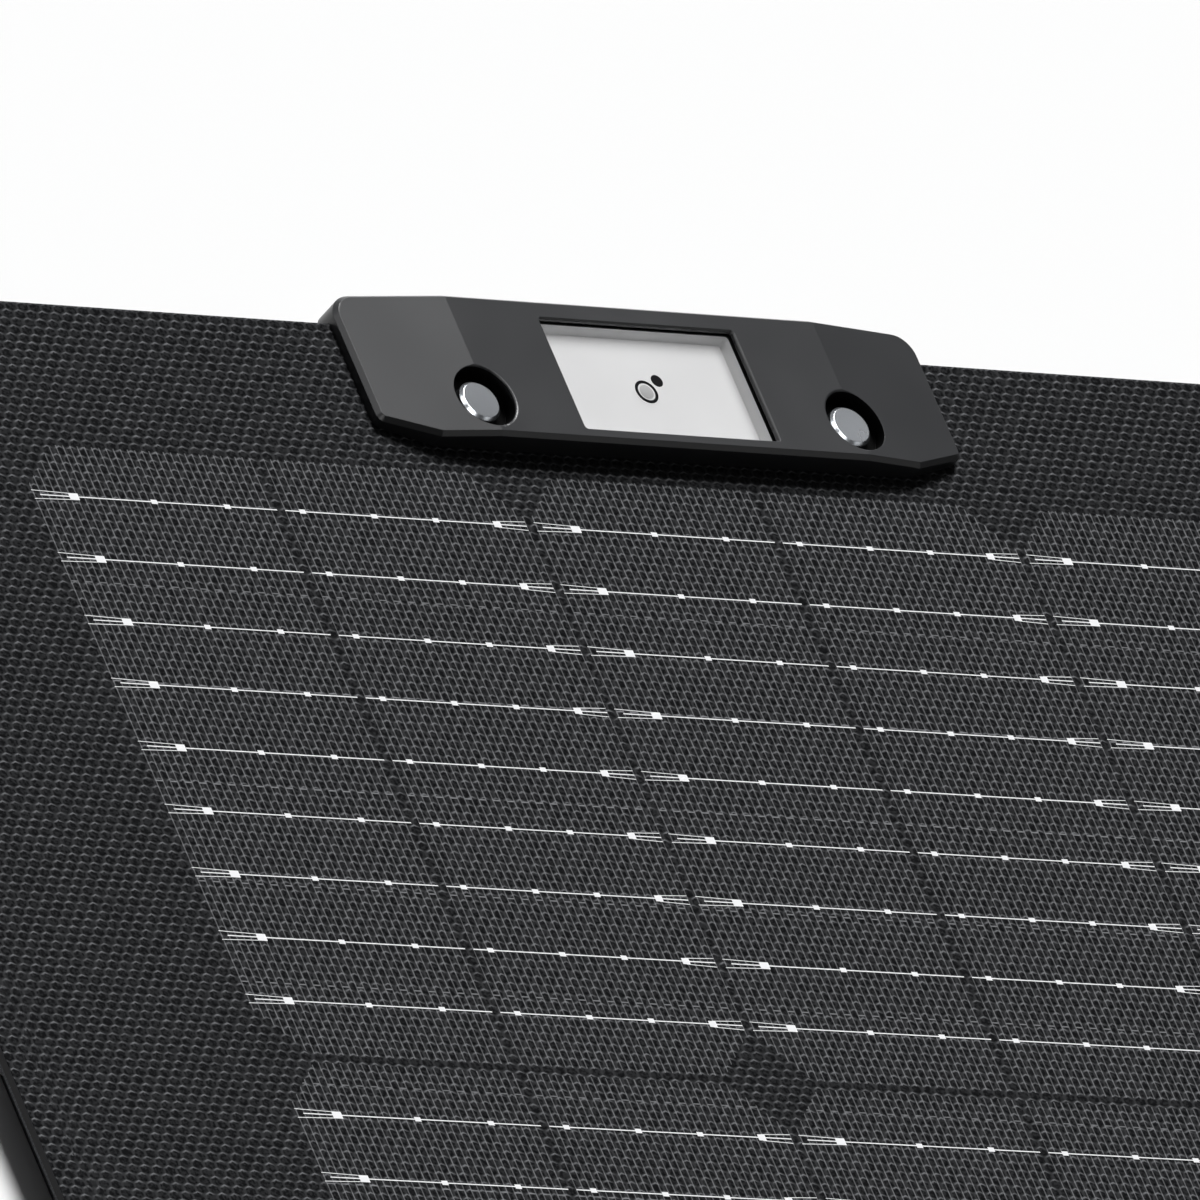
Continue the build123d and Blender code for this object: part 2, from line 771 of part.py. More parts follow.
with BuildPart() as box_gasket:
    with BuildSketch(box_plane(box_cover_t)):
        RectangleRounded(box_w, box_l, box_corner_r)
        RectangleRounded(
            box_w - 2 * box_wall, box_l - 2 * box_wall, box_corner_r - box_wall, mode=Mode.SUBTRACT
        )
        with Locations(*box_screw_spots):
            Circle(box_post_r)
            Circle(box_screw_r + fit_clearance, mode=Mode.SUBTRACT)
    extrude(amount=box_gasket_t)
save(box_gasket.part, "box_gasket")

with BuildPart() as box_cover:
    with BuildSketch(box_plane(0)):
        RectangleRounded(box_w, box_l, box_corner_r)
        with Locations(*box_screw_spots):
            Circle(box_screw_r + fit_clearance, mode=Mode.SUBTRACT)
    extrude(amount=box_cover_t)
    with BuildSketch(box_plane(0)):
        with Locations(*box_screw_spots):
            Circle(box_screw_head_r + fit_clearance)
    extrude(amount=box_screw_head_t, mode=Mode.SUBTRACT)
save(box_cover.part, "box_cover")

with BuildPart() as box_screws:
    with BuildSketch(box_plane(0)):
        with Locations(*box_screw_spots):
            Circle(box_screw_head_r)
            Rectangle(2 * box_screw_head_r, box_screw_slot_w, mode=Mode.SUBTRACT)
    extrude(amount=box_screw_head_t)
    with BuildSketch(box_plane(box_screw_head_t / 2)):
        with Locations(*box_screw_spots):
            Circle(box_screw_r)
    extrude(amount=box_base_z - box_screw_head_t / 2 + box_screw_l)
save(box_screws.part, "box_screws")

with BuildPart() as circuit:
    with BuildSketch(box_plane(circuit_top_z - circuit_t, circuit_shift)):
        Rectangle(circuit_w, circuit_l)
        with Locations(
            (ribbon_far_x - box_x - circuit_shift, ribbon_step),
            (ribbon_near_x - box_x - circuit_shift, -ribbon_step),
        ):
            Rectangle(ribbon_w + fit_clearance, ribbon_t + fit_clearance, mode=Mode.SUBTRACT)
    extrude(amount=circuit_t)
save(circuit.part, "box_circuit_board")

with BuildPart() as diodes:
    with BuildSketch(box_plane(circuit_top_z - circuit_t - diode_h, circuit_shift)):
        with GridLocations(diode_w, diode_pitch, 1, 3):
            Rectangle(diode_w, diode_l)
    extrude(amount=diode_h)
save(diodes.part, "box_diodes")

with BuildPart() as socket:
    with BuildSketch(socket_plane):
        Circle(socket_flange_r)
    extrude(amount=socket_flange_t)
    with BuildSketch(socket_plane):
        Circle(socket_barrel_r)
    extrude(amount=-(socket_depth + socket_end_t - socket_flange_t))
    with BuildSketch(socket_plane.offset(socket_flange_t)):
        Circle(socket_bore_r)
    extrude(amount=-socket_depth, mode=Mode.SUBTRACT)
save(socket.part, "output_socket")


# ---------------------------------------------------------------- stands
def knuckle_plane(side, x, z):
    """Upright plane across a stand's hinge pins, its normal along Y and its +Y up."""
    return Plane(origin=(x, side * leaf_mid_y, z), x_dir=(1, 0, 0), z_dir=(0, -1, 0))


def barrels(side, radius, spans, mode=Mode.ADD):
    """Cylinders along the pins, over each span of distance from the leaf's middle."""
    for low, high in spans:
        with BuildSketch(knuckle_plane(side, stand_hinge_x, pin_z).offset(low)) as barrel:
            Circle(radius)
        extrude(barrel.sketch, amount=high - low, mode=mode)


def spans_of(parts):
    """Spans along both hinges of a stand, for the knuckles numbered 0, 1 and 2 of each."""
    spans = []
    for middle in (-hinge_v, hinge_v):
        for number in parts:
            low = middle - hinge_l / 2 + number * knuckle_l
            spans.append((low, low + knuckle_l))
    return spans


def shrunk(spans, gap):
    """The same spans, shorter by a gap at each end."""
    return [(low + gap, high - gap) for low, high in spans]


def make_stand(side, name):
    """One stand: its two hinges, riveted on the leaf, and its board, cover, pins and foot."""
    fixed_spans = spans_of((0, 2))
    moving_spans = shrunk(spans_of((1,)), knuckle_gap)
    fixed_mid_u = side * (stand_hinge_x + plate_reach / 2)
    moving_u = side * (stand_hinge_x - plate_reach / 2)
    rivet_u = side * (stand_hinge_x + rivet_reach)
    hinge_mids = (-hinge_v, hinge_v)
    plate_spots = [(fixed_mid_u, v) for v in hinge_mids]
    rivet_spots = [(rivet_u, v + dv) for v in hinge_mids for dv in (-knuckle_l, 0, knuckle_l)]

    with BuildPart() as fixed:
        with BuildSketch(leaf_plane(side, z_back - plate_t)):
            with Locations(*plate_spots):
                Rectangle(plate_reach, hinge_l)
        extrude(amount=plate_t)
        barrels(side, knuckle_r, fixed_spans)
        for low, high in spans_of((1,)):
            with BuildSketch(knuckle_plane(side, stand_hinge_x, pin_z).offset(low)):
                Circle(knuckle_r + knuckle_gap)
            extrude(amount=high - low, mode=Mode.SUBTRACT)
        barrels(side, pin_r, fixed_spans, Mode.SUBTRACT)
    save(fixed.part, f"{name}_hinge_plates")

    with BuildPart() as rivets:
        with BuildSketch(leaf_plane(side, z_back - plate_t)):
            with Locations(*rivet_spots):
                Circle(rivet_r)
        extrude(amount=-rivet_head_t)
        chamfer(rivets.edges().group_by(Axis.Z)[0], rivet_head_t / 2)
    save(rivets.part, f"{name}_hinge_rivets")

    with BuildPart() as moving:
        with BuildSketch(leaf_plane(side, stand_top_z)):
            with Locations(*[(moving_u, v) for v in hinge_mids]):
                Rectangle(plate_reach, hinge_l / 3 - 2 * knuckle_gap)
            with Locations(*[(side * (stand_x1 - plate_reach / 2), v) for v in hinge_mids]):
                Rectangle(plate_reach, hinge_l)
        extrude(amount=plate_t)
        barrels(side, knuckle_r, moving_spans)
        barrels(side, pin_r + pin_clearance, moving_spans, Mode.SUBTRACT)
    save(moving.part, f"{name}_stand_knuckles")

    with BuildPart() as pins:
        for middle in hinge_mids:
            barrels(side, pin_r, [(middle - hinge_l / 2, middle + hinge_l / 2)])
    save(pins.part, f"{name}_hinge_pins")

    board_u = side * (stand_x0 + stand_x1) / 2
    with BuildPart() as board:
        with BuildSketch(leaf_plane(side, stand_top_z - stand_board_t)):
            with Locations((board_u, 0)):
                RectangleRounded(stand_l, stand_w, stand_corner_r)
        extrude(amount=stand_board_t)
    save(board.part, f"{name}_stand_board")

    with BuildPart() as cover:
        with BuildSketch(leaf_plane(side, stand_top_z - stand_board_t - stand_cover_t)):
            with Locations((board_u, 0)):
                RectangleRounded(stand_l, stand_w, stand_corner_r)
        extrude(amount=stand_cover_t)
    save(cover.part, f"{name}_stand_cover")

    grip_x = stand_x0 + foot_grip
    foot_u = side * (grip_x - foot_w / 2)
    slot_z = stand_top_z - stand_board_t - stand_cover_t
    with BuildPart() as foot:
        with BuildSketch(leaf_plane(side, 0)):
            with Locations((foot_u, 0)):
                Rectangle(foot_w, foot_l)
        extrude(amount=stand_top_z + stand_cover_t)
        chamfer(foot.edges().filter_by(Axis.Y), foot_edge)
        with BuildSketch(leaf_plane(side, slot_z)):
            with Locations((board_u, 0)):
                RectangleRounded(stand_l, stand_w, stand_corner_r)
        extrude(amount=stand_top_z - slot_z, mode=Mode.SUBTRACT)
    save(foot.part, f"{name}_stand_foot")


make_stand(1, "upper")
make_stand(-1, "lower")
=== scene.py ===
# %% [markdown]
# # A folding solar panel, dressed for the studio
# The panel has two stiffened leaves and a narrow spine between them. Its upper leaf carries a moulded
# module with an aiming dial and two magnets. The CAD model holds every size and every joint. This
# notebook adds what a person sees: the embossed film, the printed cells, cloth, stitches and light.

import json

import bpy
import numpy as np
from mathutils import Matrix, Vector


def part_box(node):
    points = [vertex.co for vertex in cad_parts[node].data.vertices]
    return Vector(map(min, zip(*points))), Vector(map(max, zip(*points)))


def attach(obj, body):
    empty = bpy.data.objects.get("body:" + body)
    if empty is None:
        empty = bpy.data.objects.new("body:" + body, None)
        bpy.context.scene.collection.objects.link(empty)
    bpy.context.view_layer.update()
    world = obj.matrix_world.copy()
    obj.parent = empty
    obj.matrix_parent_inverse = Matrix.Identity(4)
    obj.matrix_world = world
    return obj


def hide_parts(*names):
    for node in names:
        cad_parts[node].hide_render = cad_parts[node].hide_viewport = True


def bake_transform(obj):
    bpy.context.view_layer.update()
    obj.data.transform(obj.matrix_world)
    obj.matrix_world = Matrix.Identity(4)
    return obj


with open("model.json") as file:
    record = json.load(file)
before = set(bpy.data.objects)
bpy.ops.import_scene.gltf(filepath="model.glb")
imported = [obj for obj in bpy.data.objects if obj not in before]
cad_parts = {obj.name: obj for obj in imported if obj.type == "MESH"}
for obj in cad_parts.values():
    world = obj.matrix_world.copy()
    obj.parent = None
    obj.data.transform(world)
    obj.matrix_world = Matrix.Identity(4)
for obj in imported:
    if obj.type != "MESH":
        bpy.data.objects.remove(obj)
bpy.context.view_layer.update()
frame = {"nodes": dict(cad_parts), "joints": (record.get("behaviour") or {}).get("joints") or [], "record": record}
nodes = frame["nodes"]
MM = 0.001

# %% [markdown]
# The places that everything else is measured from come from the CAD boxes: where each leaf lies, how
# high its front film is, and where the module and the fold lines are.

# %% Places read from the frame
film_low, film_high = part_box("upper_front_film")
cells_low, cells_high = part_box("upper_cells")
module_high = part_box("dial_housing")[1]
front_z = film_high.z
back_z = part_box("upper_back_cloth")[0].z
panel_width = film_high.x - film_low.x
fold_ys = {j["name"]: j["pos_m"][1] for j in frame["joints"] if j["name"].endswith("fold")}
print("front at", round(front_z, 4), "back at", round(back_z, 4), "folds at", fold_ys)

# %% [markdown]
# ## The camera comes first
# Products like this are shown from far away through a long lens, so that parallel edges stay nearly
# parallel. The camera is described as a photographer would: where it stands around the object,
# how high, how far it is rolled over, what it looks at, and from how far.

# %% Camera
BEARING = -144.09      # degrees from +X, towards the camera
ELEVATION = 36.72
ROLL = np.radians(43.20)
DISTANCE = 11.749
FOCAL_MM = 1227.5
SENSOR_MM = 36.0
look_at = Vector((-0.05203, 0.44760, front_z))


def direction(bearing_deg, height_deg):
    """The unit vector (cos h cos b, cos h sin b, sin h), for a bearing b from +X and a height h."""
    bearing, height = np.radians(bearing_deg), np.radians(height_deg)
    return Vector((np.cos(height) * np.cos(bearing), np.cos(height) * np.sin(bearing), np.sin(height)))


def place_camera():
    """Looks back along the direction it stands in. The view's right and up are the level right and
    its partner, turned about that direction by the roll."""
    towards = direction(BEARING, ELEVATION)
    level_right = Vector((0, 0, 1)).cross(towards).normalized()
    level_up = towards.cross(level_right)
    right = np.cos(ROLL) * level_right + np.sin(ROLL) * level_up
    up = -np.sin(ROLL) * level_right + np.cos(ROLL) * level_up
    turn = Matrix((right, up, towards)).transposed().to_4x4()
    camera = bpy.data.objects.new("camera", bpy.data.cameras.new("camera"))
    camera.data.sensor_width = SENSOR_MM
    camera.data.lens = FOCAL_MM
    camera.data.clip_end = 100
    camera.matrix_world = Matrix.Translation(look_at + DISTANCE * towards) @ turn
    bpy.context.scene.collection.objects.link(camera)
    bpy.context.scene.camera = camera
    return camera


camera = place_camera()
print("camera at", [round(c, 3) for c in camera.matrix_world.translation])

# %% [markdown]
# ## Light
# The key lamp stands behind and to the right, so that the module throws a short dark shadow towards the
# viewer. Around it hang reflection cards: pale boards that a photographer places only for what they
# look like in the gloss of an edge or a slope. Here they are lamps that diffuse light ignores. The
# world gives a little even light, so that the shadows don't close.

# %% Studio light
LAMPS = {
    # name: bearing, height, strength, spread, and whether it also lights matt surfaces
    "key_light": (78, 40, 4.70, 22, True),
    "slope_card": (60, 64, 1.65, 26, False),
    "left_edge_card": (142, 42, 0.65, 34, False),
    "near_edge_card": (-43, 30, 0.2, 34, False),
    "shoulder_card": (-142, 54, 0.9, 30, False),
}
SKY = 0.06


def soft_sun(name, bearing_deg, height_deg, strength, spread_deg, lights_matt):
    """A distant lamp that shines from that bearing and height; its spread softens the shadows."""
    lamp = bpy.data.objects.new(name, bpy.data.lights.new(name, "SUN"))
    lamp.data.energy = strength
    lamp.data.angle = np.radians(spread_deg)
    lamp.rotation_euler = direction(bearing_deg, height_deg).to_track_quat("Z", "Y").to_euler()
    lamp.visible_diffuse = lights_matt
    bpy.context.scene.collection.objects.link(lamp)
    return lamp


lamps = {lamp_name: soft_sun(lamp_name, *facts) for lamp_name, facts in LAMPS.items()}
world = bpy.data.worlds.new("studio")
bpy.context.scene.world = world
world.use_nodes = True
world.node_tree.nodes["Background"].inputs["Color"].default_value = (1, 1, 1, 1)
world.node_tree.nodes["Background"].inputs["Strength"].default_value = SKY
bpy.context.scene.view_settings.view_transform = "Standard"

# %% [markdown]
# The tray lies deep in the housing, where the key lamp can't reach its whole floor. A photographer
# would bounce light into it with a small card right above. A linked lamp does the same: it lights the
# tray and its printed target only, and only they and the gasket that lies on its rim can block it.

# %% Light for the tray
TRAY_NODES = ("dial_tray", "dial_target_ring", "dial_target_spot")
TRAY_LAMP = (72, 66, 3.22, 64, True)


def linked_collection(name, names):
    """A collection of CAD nodes, kept out of the scene's own list, for a lamp to be linked to."""
    group = bpy.data.collections.new(name)
    for node_name in names:
        group.objects.link(nodes[node_name])
    return group


tray_light = soft_sun("tray_light", *TRAY_LAMP)
tray_light.light_linking.receiver_collection = linked_collection("tray_parts", TRAY_NODES)
tray_light.light_linking.blocker_collection = linked_collection("tray_blockers", (*TRAY_NODES, "dial_gasket"))
not_tray = linked_collection("all_but_tray", TRAY_NODES)
for entry in not_tray.collection_objects:
    entry.light_linking.link_state = "EXCLUDE"
lamps["key_light"].light_linking.receiver_collection = not_tray
print("lamps", sorted(lamps), "and one for the tray")

# %% [markdown]
# ## Mesh helpers
# Most new pieces are one of three kinds: a field of flat prisms with the same number of corners, such
# as printed lines and stitches; a profile turned about an upright axis, such as an eyelet; or a grid
# surface. Each is worked out as whole arrays.

# %% Mesh helpers
def piece_from(name, points, faces, material, smooth=False):
    """A mesh object at the origin, made of an array of points and lists of corner numbers."""
    mesh = bpy.data.meshes.new(name)
    mesh.from_pydata(np.asarray(points, float).reshape(-1, 3).tolist(), [], faces)
    mesh.validate()
    mesh.polygons.foreach_set("use_smooth", np.full(len(mesh.polygons), smooth))
    mesh.materials.append(material)
    made = bpy.data.objects.new(name, mesh)
    bpy.context.scene.collection.objects.link(made)
    return made


def prism_field(outlines, low, high):
    """n prisms from outlines (n, k, 2), anticlockwise, each from height low to high (n or one value).

    Corner j of prism i is (x, y, low) and (x, y, high); the sides join corner j to j + 1."""
    outlines = np.asarray(outlines, float)
    n, k, _ = outlines.shape
    base = np.broadcast_to(np.asarray(low, float).reshape(-1, 1, 1), (n, k, 1))
    top = np.broadcast_to(np.asarray(high, float).reshape(-1, 1, 1), (n, k, 1))
    rings = np.stack([np.concatenate([outlines, base], 2), np.concatenate([outlines, top], 2)], 1)
    start = (np.arange(n) * 2 * k)[:, None]
    j = np.arange(k)
    nxt = (j + 1) % k
    floor_faces = start + j[::-1]
    roof_faces = start + k + j
    sides = np.stack([start + j, start + nxt, start + k + nxt, start + k + j], 2).reshape(-1, 4)
    return rings.reshape(-1, 3), floor_faces.tolist() + roof_faces.tolist() + sides.tolist()


def turned(profile, centres, turns=48):
    """A closed profile (r, z) turned about upright axes at centres (n, 2): x = cx + r cos t."""
    profile = np.asarray(profile, float)
    k = len(profile)
    t = np.arange(turns) * 2 * np.pi / turns
    ring = np.stack(
        [
            profile[None, :, 0] * np.cos(t)[:, None],
            profile[None, :, 0] * np.sin(t)[:, None],
            np.broadcast_to(profile[None, :, 1], (turns, k)),
        ],
        2,
    )
    centres = np.asarray(centres, float)
    shift = np.concatenate([centres, np.zeros((len(centres), 1))], 1)
    points = (ring[None] + shift[:, None, None]).reshape(-1, 3)
    i, j = np.meshgrid(np.arange(turns), np.arange(k), indexing="ij")
    i2, j2 = (i + 1) % turns, (j + 1) % k
    quads = np.stack([i * k + j, i2 * k + j, i2 * k + j2, i * k + j2], 2).reshape(-1, 4)
    starts = (np.arange(len(centres)) * turns * k)[:, None, None]
    return points, (quads[None] + starts).reshape(-1, 4).tolist()


def arc(centre, radius, start_deg, end_deg, steps=6):
    """Points (c + r cos t, c' + r sin t) along part of a circle."""
    t = np.radians(np.linspace(start_deg, end_deg, steps))
    return np.stack([centre[0] + radius * np.cos(t), centre[1] + radius * np.sin(t)], 1)


# %% [markdown]
# ## Node helpers
# A material is a chain of small sums. These helpers keep that chain readable: each adds one node, such
# as a sum, a soft step or a mix, and gives back the socket that the next one needs.

# %% Node helpers
def add_node(tree, kind, **settings):
    """A node of that kind with its settings, and its inputs by name in `inputs`."""
    inputs = settings.pop("inputs", {})
    node = tree.nodes.new(kind)
    for key, value in settings.items():
        setattr(node, key, value)
    for key, value in inputs.items():
        feed(tree, node.inputs[key], value)
    return node


def feed(tree, socket, value):
    """Links a socket to the input, or sets a plain value on it."""
    if isinstance(value, bpy.types.NodeSocket):
        tree.links.new(value, socket)
    else:
        socket.default_value = value


def calc(tree, operation, *values):
    """One Math node; its result socket."""
    node = add_node(tree, "ShaderNodeMath", operation=operation)
    for socket, value in zip(node.inputs, values):
        feed(tree, socket, value)
    return node.outputs[0]


def soft_step(tree, value, start, end):
    """0 before start and 1 after end, with a smooth rise between them."""
    node = add_node(tree, "ShaderNodeMapRange", interpolation_type="SMOOTHSTEP")
    for key, number in (("Value", value), ("From Min", start), ("From Max", end)):
        feed(tree, node.inputs[key], number)
    return node.outputs["Result"]


def mix_colour(tree, factor, first, second):
    """A colour between first and second."""
    node = add_node(tree, "ShaderNodeMix", data_type="RGBA")
    feed(tree, node.inputs["Factor"], factor)
    feed(tree, node.inputs[6], first)
    feed(tree, node.inputs[7], second)
    return node.outputs[2]


def mix_value(tree, factor, first, second):
    """A number between first and second."""
    node = add_node(tree, "ShaderNodeMix", data_type="FLOAT")
    for socket, value in zip(node.inputs[:4], (factor, None, first, second)):
        if value is not None:
            feed(tree, socket, value)
    return node.outputs[0]


def new_group(name, inputs, outputs):
    """A shader node group with float inputs (name: default) and the named outputs."""
    tree = bpy.data.node_groups.new(name, "ShaderNodeTree")
    for key, default in inputs.items():
        socket = tree.interface.new_socket(key, in_out="INPUT", socket_type="NodeSocketFloat")
        socket.default_value = default
    for key, kind in outputs.items():
        tree.interface.new_socket(key, in_out="OUTPUT", socket_type=kind)
    return tree, tree.nodes.new("NodeGroupInput"), tree.nodes.new("NodeGroupOutput")


def place_group(tree, group, **inputs):
    """The group as a node of another tree; its outputs by name."""
    node = add_node(tree, "ShaderNodeGroup", node_tree=group)
    for key, value in inputs.items():
        feed(tree, node.inputs[key.replace("_", " ")], value)
    return node.outputs


def new_material(name, colour=(0.5, 0.5, 0.5), roughness=0.5, metallic=0.0, specular=0.5):
    """A material with one Principled shader, its even values set on the shader's own sockets."""
    material = bpy.data.materials.new(name)
    material.use_nodes = True
    shader = material.node_tree.nodes["Principled BSDF"]
    shader.inputs["Base Color"].default_value = (*colour, 1)
    shader.inputs["Roughness"].default_value = roughness
    shader.inputs["Metallic"].default_value = metallic
    shader.inputs["Specular IOR Level"].default_value = specular
    return material, material.node_tree, shader


def bump(tree, shader, height, distance, strength=1.0):
    """Feeds a height, in units of distance, to the shader's normal."""
    node = add_node(tree, "ShaderNodeBump", inputs={"Height": height})
    node.inputs["Distance"].default_value = distance
    node.inputs["Strength"].default_value = strength
    tree.links.new(node.outputs["Normal"], shader.inputs["Normal"])


# %% [markdown]
# ## Group: the embossed film
# The clear film over such a panel is pressed with rows of small rounded bumps, each row shifted by
# half a bump. That is a lattice, so the pattern is arithmetic: find the nearest bump's middle, and
# make everything from how far away it is and on which side. On each bump's upper side the group also
# makes a painted highlight, the glint that a lamp on that side would give. The same group serves the
# film, the cells below it and the tape over the folds, so the bumps line up across all of them.

# %% Embossed film group
BUMP_PITCH = 4.48 * MM       # along a row
BUMP_ROW = 2.86 * MM         # from row to row
HEX = 3**0.5                 # stretches the lattice so that all six neighbours are equally far
FLECK_SCALE = 950.0          # per metre, the film's fine unevenness
FLECK_WANDER = 0.16          # how far that unevenness moves a bump's outline
# The arch is the painted highlight on each bump's upper edge.
HIGHLIGHT_APEX_SHIFT = 0.06            # the arch's peak lies a little off the bump's middle
MARK_STEP = 0.7131           # from column to column, so that bumps get different random numbers


def make_emboss_group():
    """Distances are in pitches, with y stretched so that all six neighbours are 1 away. The bump's
    outline is the six-sided border half way to them: the larger of |du| and |du| / 2 + 0.87 |dv| is
    0.5 there. Along its upper edge, on the +y side only, lies a pointed arch of painted highlight,
    whose strength varies at random from bump to bump."""
    outputs = {key: "NodeSocketFloat" for key in ("Height", "Painted_Highlight", "Web", "Fleck")}
    tree, _, result = new_group("film emboss", {}, outputs)
    place = add_node(tree, "ShaderNodeTexCoord").outputs["Object"]
    split = add_node(tree, "ShaderNodeSeparateXYZ", inputs={"Vector": place})
    across = calc(tree, "DIVIDE", split.outputs["X"], BUMP_PITCH)
    along = calc(tree, "DIVIDE", split.outputs["Y"], 2 * BUMP_ROW)
    found = []
    for shift in (0.0, 0.5):
        u = calc(tree, "ADD", across, shift)
        v = calc(tree, "ADD", along, shift)
        du = calc(tree, "SUBTRACT", calc(tree, "FRACT", u), 0.5)
        dv = calc(tree, "MULTIPLY", calc(tree, "SUBTRACT", calc(tree, "FRACT", v), 0.5), HEX)
        wide = calc(tree, "ABSOLUTE", du)
        tall = calc(tree, "ABSOLUTE", dv)
        slope = calc(tree, "MULTIPLY_ADD", tall, HEX / 2, calc(tree, "MULTIPLY", wide, 0.5))
        mark = calc(tree, "MULTIPLY_ADD", calc(tree, "FLOOR", u), MARK_STEP, calc(tree, "FLOOR", v))
        found.append((calc(tree, "MAXIMUM", wide, slope), du, dv, calc(tree, "ADD", mark, shift)))
    first, other = found
    second = calc(tree, "LESS_THAN", other[0], first[0])
    reach, du, dv, mark = (mix_value(tree, second, a, b) for a, b in zip(first, other))
    dice = add_node(tree, "ShaderNodeTexWhiteNoise", noise_dimensions="1D", inputs={"W": mark})
    grain = {"Vector": place, "Scale": FLECK_SCALE, "Detail": 3.0}
    fleck = add_node(tree, "ShaderNodeTexNoise", inputs=grain)
    drift = calc(tree, "SUBTRACT", fleck.outputs["Fac"], 0.5)
    wander = calc(tree, "MULTIPLY_ADD", drift, FLECK_WANDER, reach)
    dome = calc(tree, "SUBTRACT", 1.0, soft_step(tree, wander, 0.20, 0.50))
    web = soft_step(tree, wander, 0.34, 0.45)
    # Painted highlight: an arch along the bump's edge on the +y side only, strongest at its peak, as if lit from
    # that side.
    edge = calc(tree, "MULTIPLY", soft_step(tree, wander, 0.31, 0.42), soft_step(tree, dv, 0.02, 0.30))
    from_apex = calc(tree, "ABSOLUTE", calc(tree, "ADD", du, HIGHLIGHT_APEX_SHIFT))
    apex = calc(tree, "SUBTRACT", 1.0, soft_step(tree, from_apex, 0.0, 0.50))
    uneven = calc(tree, "MULTIPLY_ADD", dice.outputs["Value"], 0.55, 0.55)
    painted_highlight = calc(tree, "MULTIPLY", calc(tree, "MULTIPLY", edge, apex), uneven)
    for key, value in (("Height", dome), ("Painted_Highlight", painted_highlight), ("Web", web), ("Fleck", fleck.outputs["Fac"])):
        tree.links.new(value, result.inputs[key])
    return tree


emboss = make_emboss_group()

# %% [markdown]
# ## Group: fine mould texture
# Moulded plastic comes out of a spark-eroded mould with a fine even grain. A little noise in the
# height and in the roughness is enough for it.

# %% Mould grain group
def make_grain_group():
    """Two noises: a fine one for the grain and a broad one for faint clouding."""
    tree, given, result = new_group(
        "mould grain", {"Scale": 1800.0}, {"Height": "NodeSocketFloat", "Cloud": "NodeSocketFloat"}
    )
    place = add_node(tree, "ShaderNodeTexCoord").outputs["Object"]
    fine = add_node(tree, "ShaderNodeTexNoise", inputs={"Vector": place, "Scale": given.outputs["Scale"]})
    fine.inputs["Detail"].default_value = 3.0
    broad = add_node(tree, "ShaderNodeTexNoise", inputs={"Vector": place, "Scale": 22.0})
    tree.links.new(fine.outputs["Fac"], result.inputs["Height"])
    tree.links.new(broad.outputs["Fac"], result.inputs["Cloud"])
    return tree


grain = make_grain_group()

# %% [markdown]
# ## Group: plain weave
# The back is a coated woven cloth. A plain weave is two sets of threads that pass over and under each
# other in turn, so whichever of two sine ridges is on top at a spot gives the height there.

# %% Weave group
def make_weave_group():
    """Warp ridges |sin x| and weft ridges |sin y|; which one is on top alternates like a chessboard."""
    tree, given, result = new_group(
        "plain weave", {"Thread": 0.7 * MM}, {"Height": "NodeSocketFloat", "Slub_And_Painted_Shade": "NodeSocketFloat"}
    )
    place = add_node(tree, "ShaderNodeTexCoord").outputs["Object"]
    split = add_node(tree, "ShaderNodeSeparateXYZ", inputs={"Vector": place})
    x = calc(tree, "DIVIDE", split.outputs["X"], given.outputs["Thread"])
    y = calc(tree, "DIVIDE", split.outputs["Y"], given.outputs["Thread"])
    ridge_x = calc(tree, "ABSOLUTE", calc(tree, "SINE", calc(tree, "MULTIPLY", x, np.pi)))
    ridge_y = calc(tree, "ABSOLUTE", calc(tree, "SINE", calc(tree, "MULTIPLY", y, np.pi)))
    square = calc(tree, "ADD", calc(tree, "FLOOR", x), calc(tree, "FLOOR", y))
    over = calc(tree, "MULTIPLY", calc(tree, "FRACT", calc(tree, "MULTIPLY", square, 0.5)), 2.0)
    height = mix_value(tree, over, ridge_x, ridge_y)
    slub = add_node(tree, "ShaderNodeTexNoise", inputs={"Vector": place, "Scale": 160.0})
    # Half random slub tone and half painted shade: the lower the thread surface, the darker the colour.
    slub_and_painted_shade = calc(tree, "MULTIPLY_ADD", slub.outputs["Fac"], 0.5, calc(tree, "MULTIPLY", height, 0.5))
    tree.links.new(height, result.inputs["Height"])
    tree.links.new(slub_and_painted_shade, result.inputs["Slub_And_Painted_Shade"])
    return tree


weave = make_weave_group()

# %% [markdown]
# ## Finishes of the front
# The border is black laminate under the embossed film. The cells are dark grey silicon with printed
# fingers at right angles to the busbars, and here and there a dashed bridge that joins two fingers.

# %% Border and cell finishes
BUMP_DARK = (0.0060, 0.0063, 0.0070, 1)
BUMP_LIGHT = (0.0225, 0.0231, 0.0245, 1)
WEB_GREY = (0.0330, 0.0338, 0.0356, 1)
# The light grey of the painted highlight on each bump's upper edge.
PAINTED_HIGHLIGHT_GREY = (0.138, 0.141, 0.148, 1)
FINGER = (0.185, 0.188, 0.196, 1)
HALF_CELL = (91.0 * MM, 212.6 * MM)
CELL_GAP = 3.0 * MM
PAIR_PITCH = 2 * (HALF_CELL[0] + CELL_GAP)
FINGER_PITCH = 2.67 * MM
FINGER_HALF = 0.20 * MM
LEFT_START = 0.65 * MM       # first finger of a pair's left half-cell, from the pair's edge
LEFT_FINGERS = 34            # the right half-cell has one more
RIGHT_START = 94.1 * MM
BAR_COUNT = 9
BUSBAR_PITCH = 22.0 * MM
FIRST_BAR = HALF_CELL[1] / 2 - (BAR_COUNT - 1) / 2 * BUSBAR_PITCH
BRIDGE_STEP = 34.9 * MM
BRIDGE_PHASE = 0.63          # in steps: the first line is 0.87 of a step past the first busbar
BRIDGE_HALF = 0.22 * MM


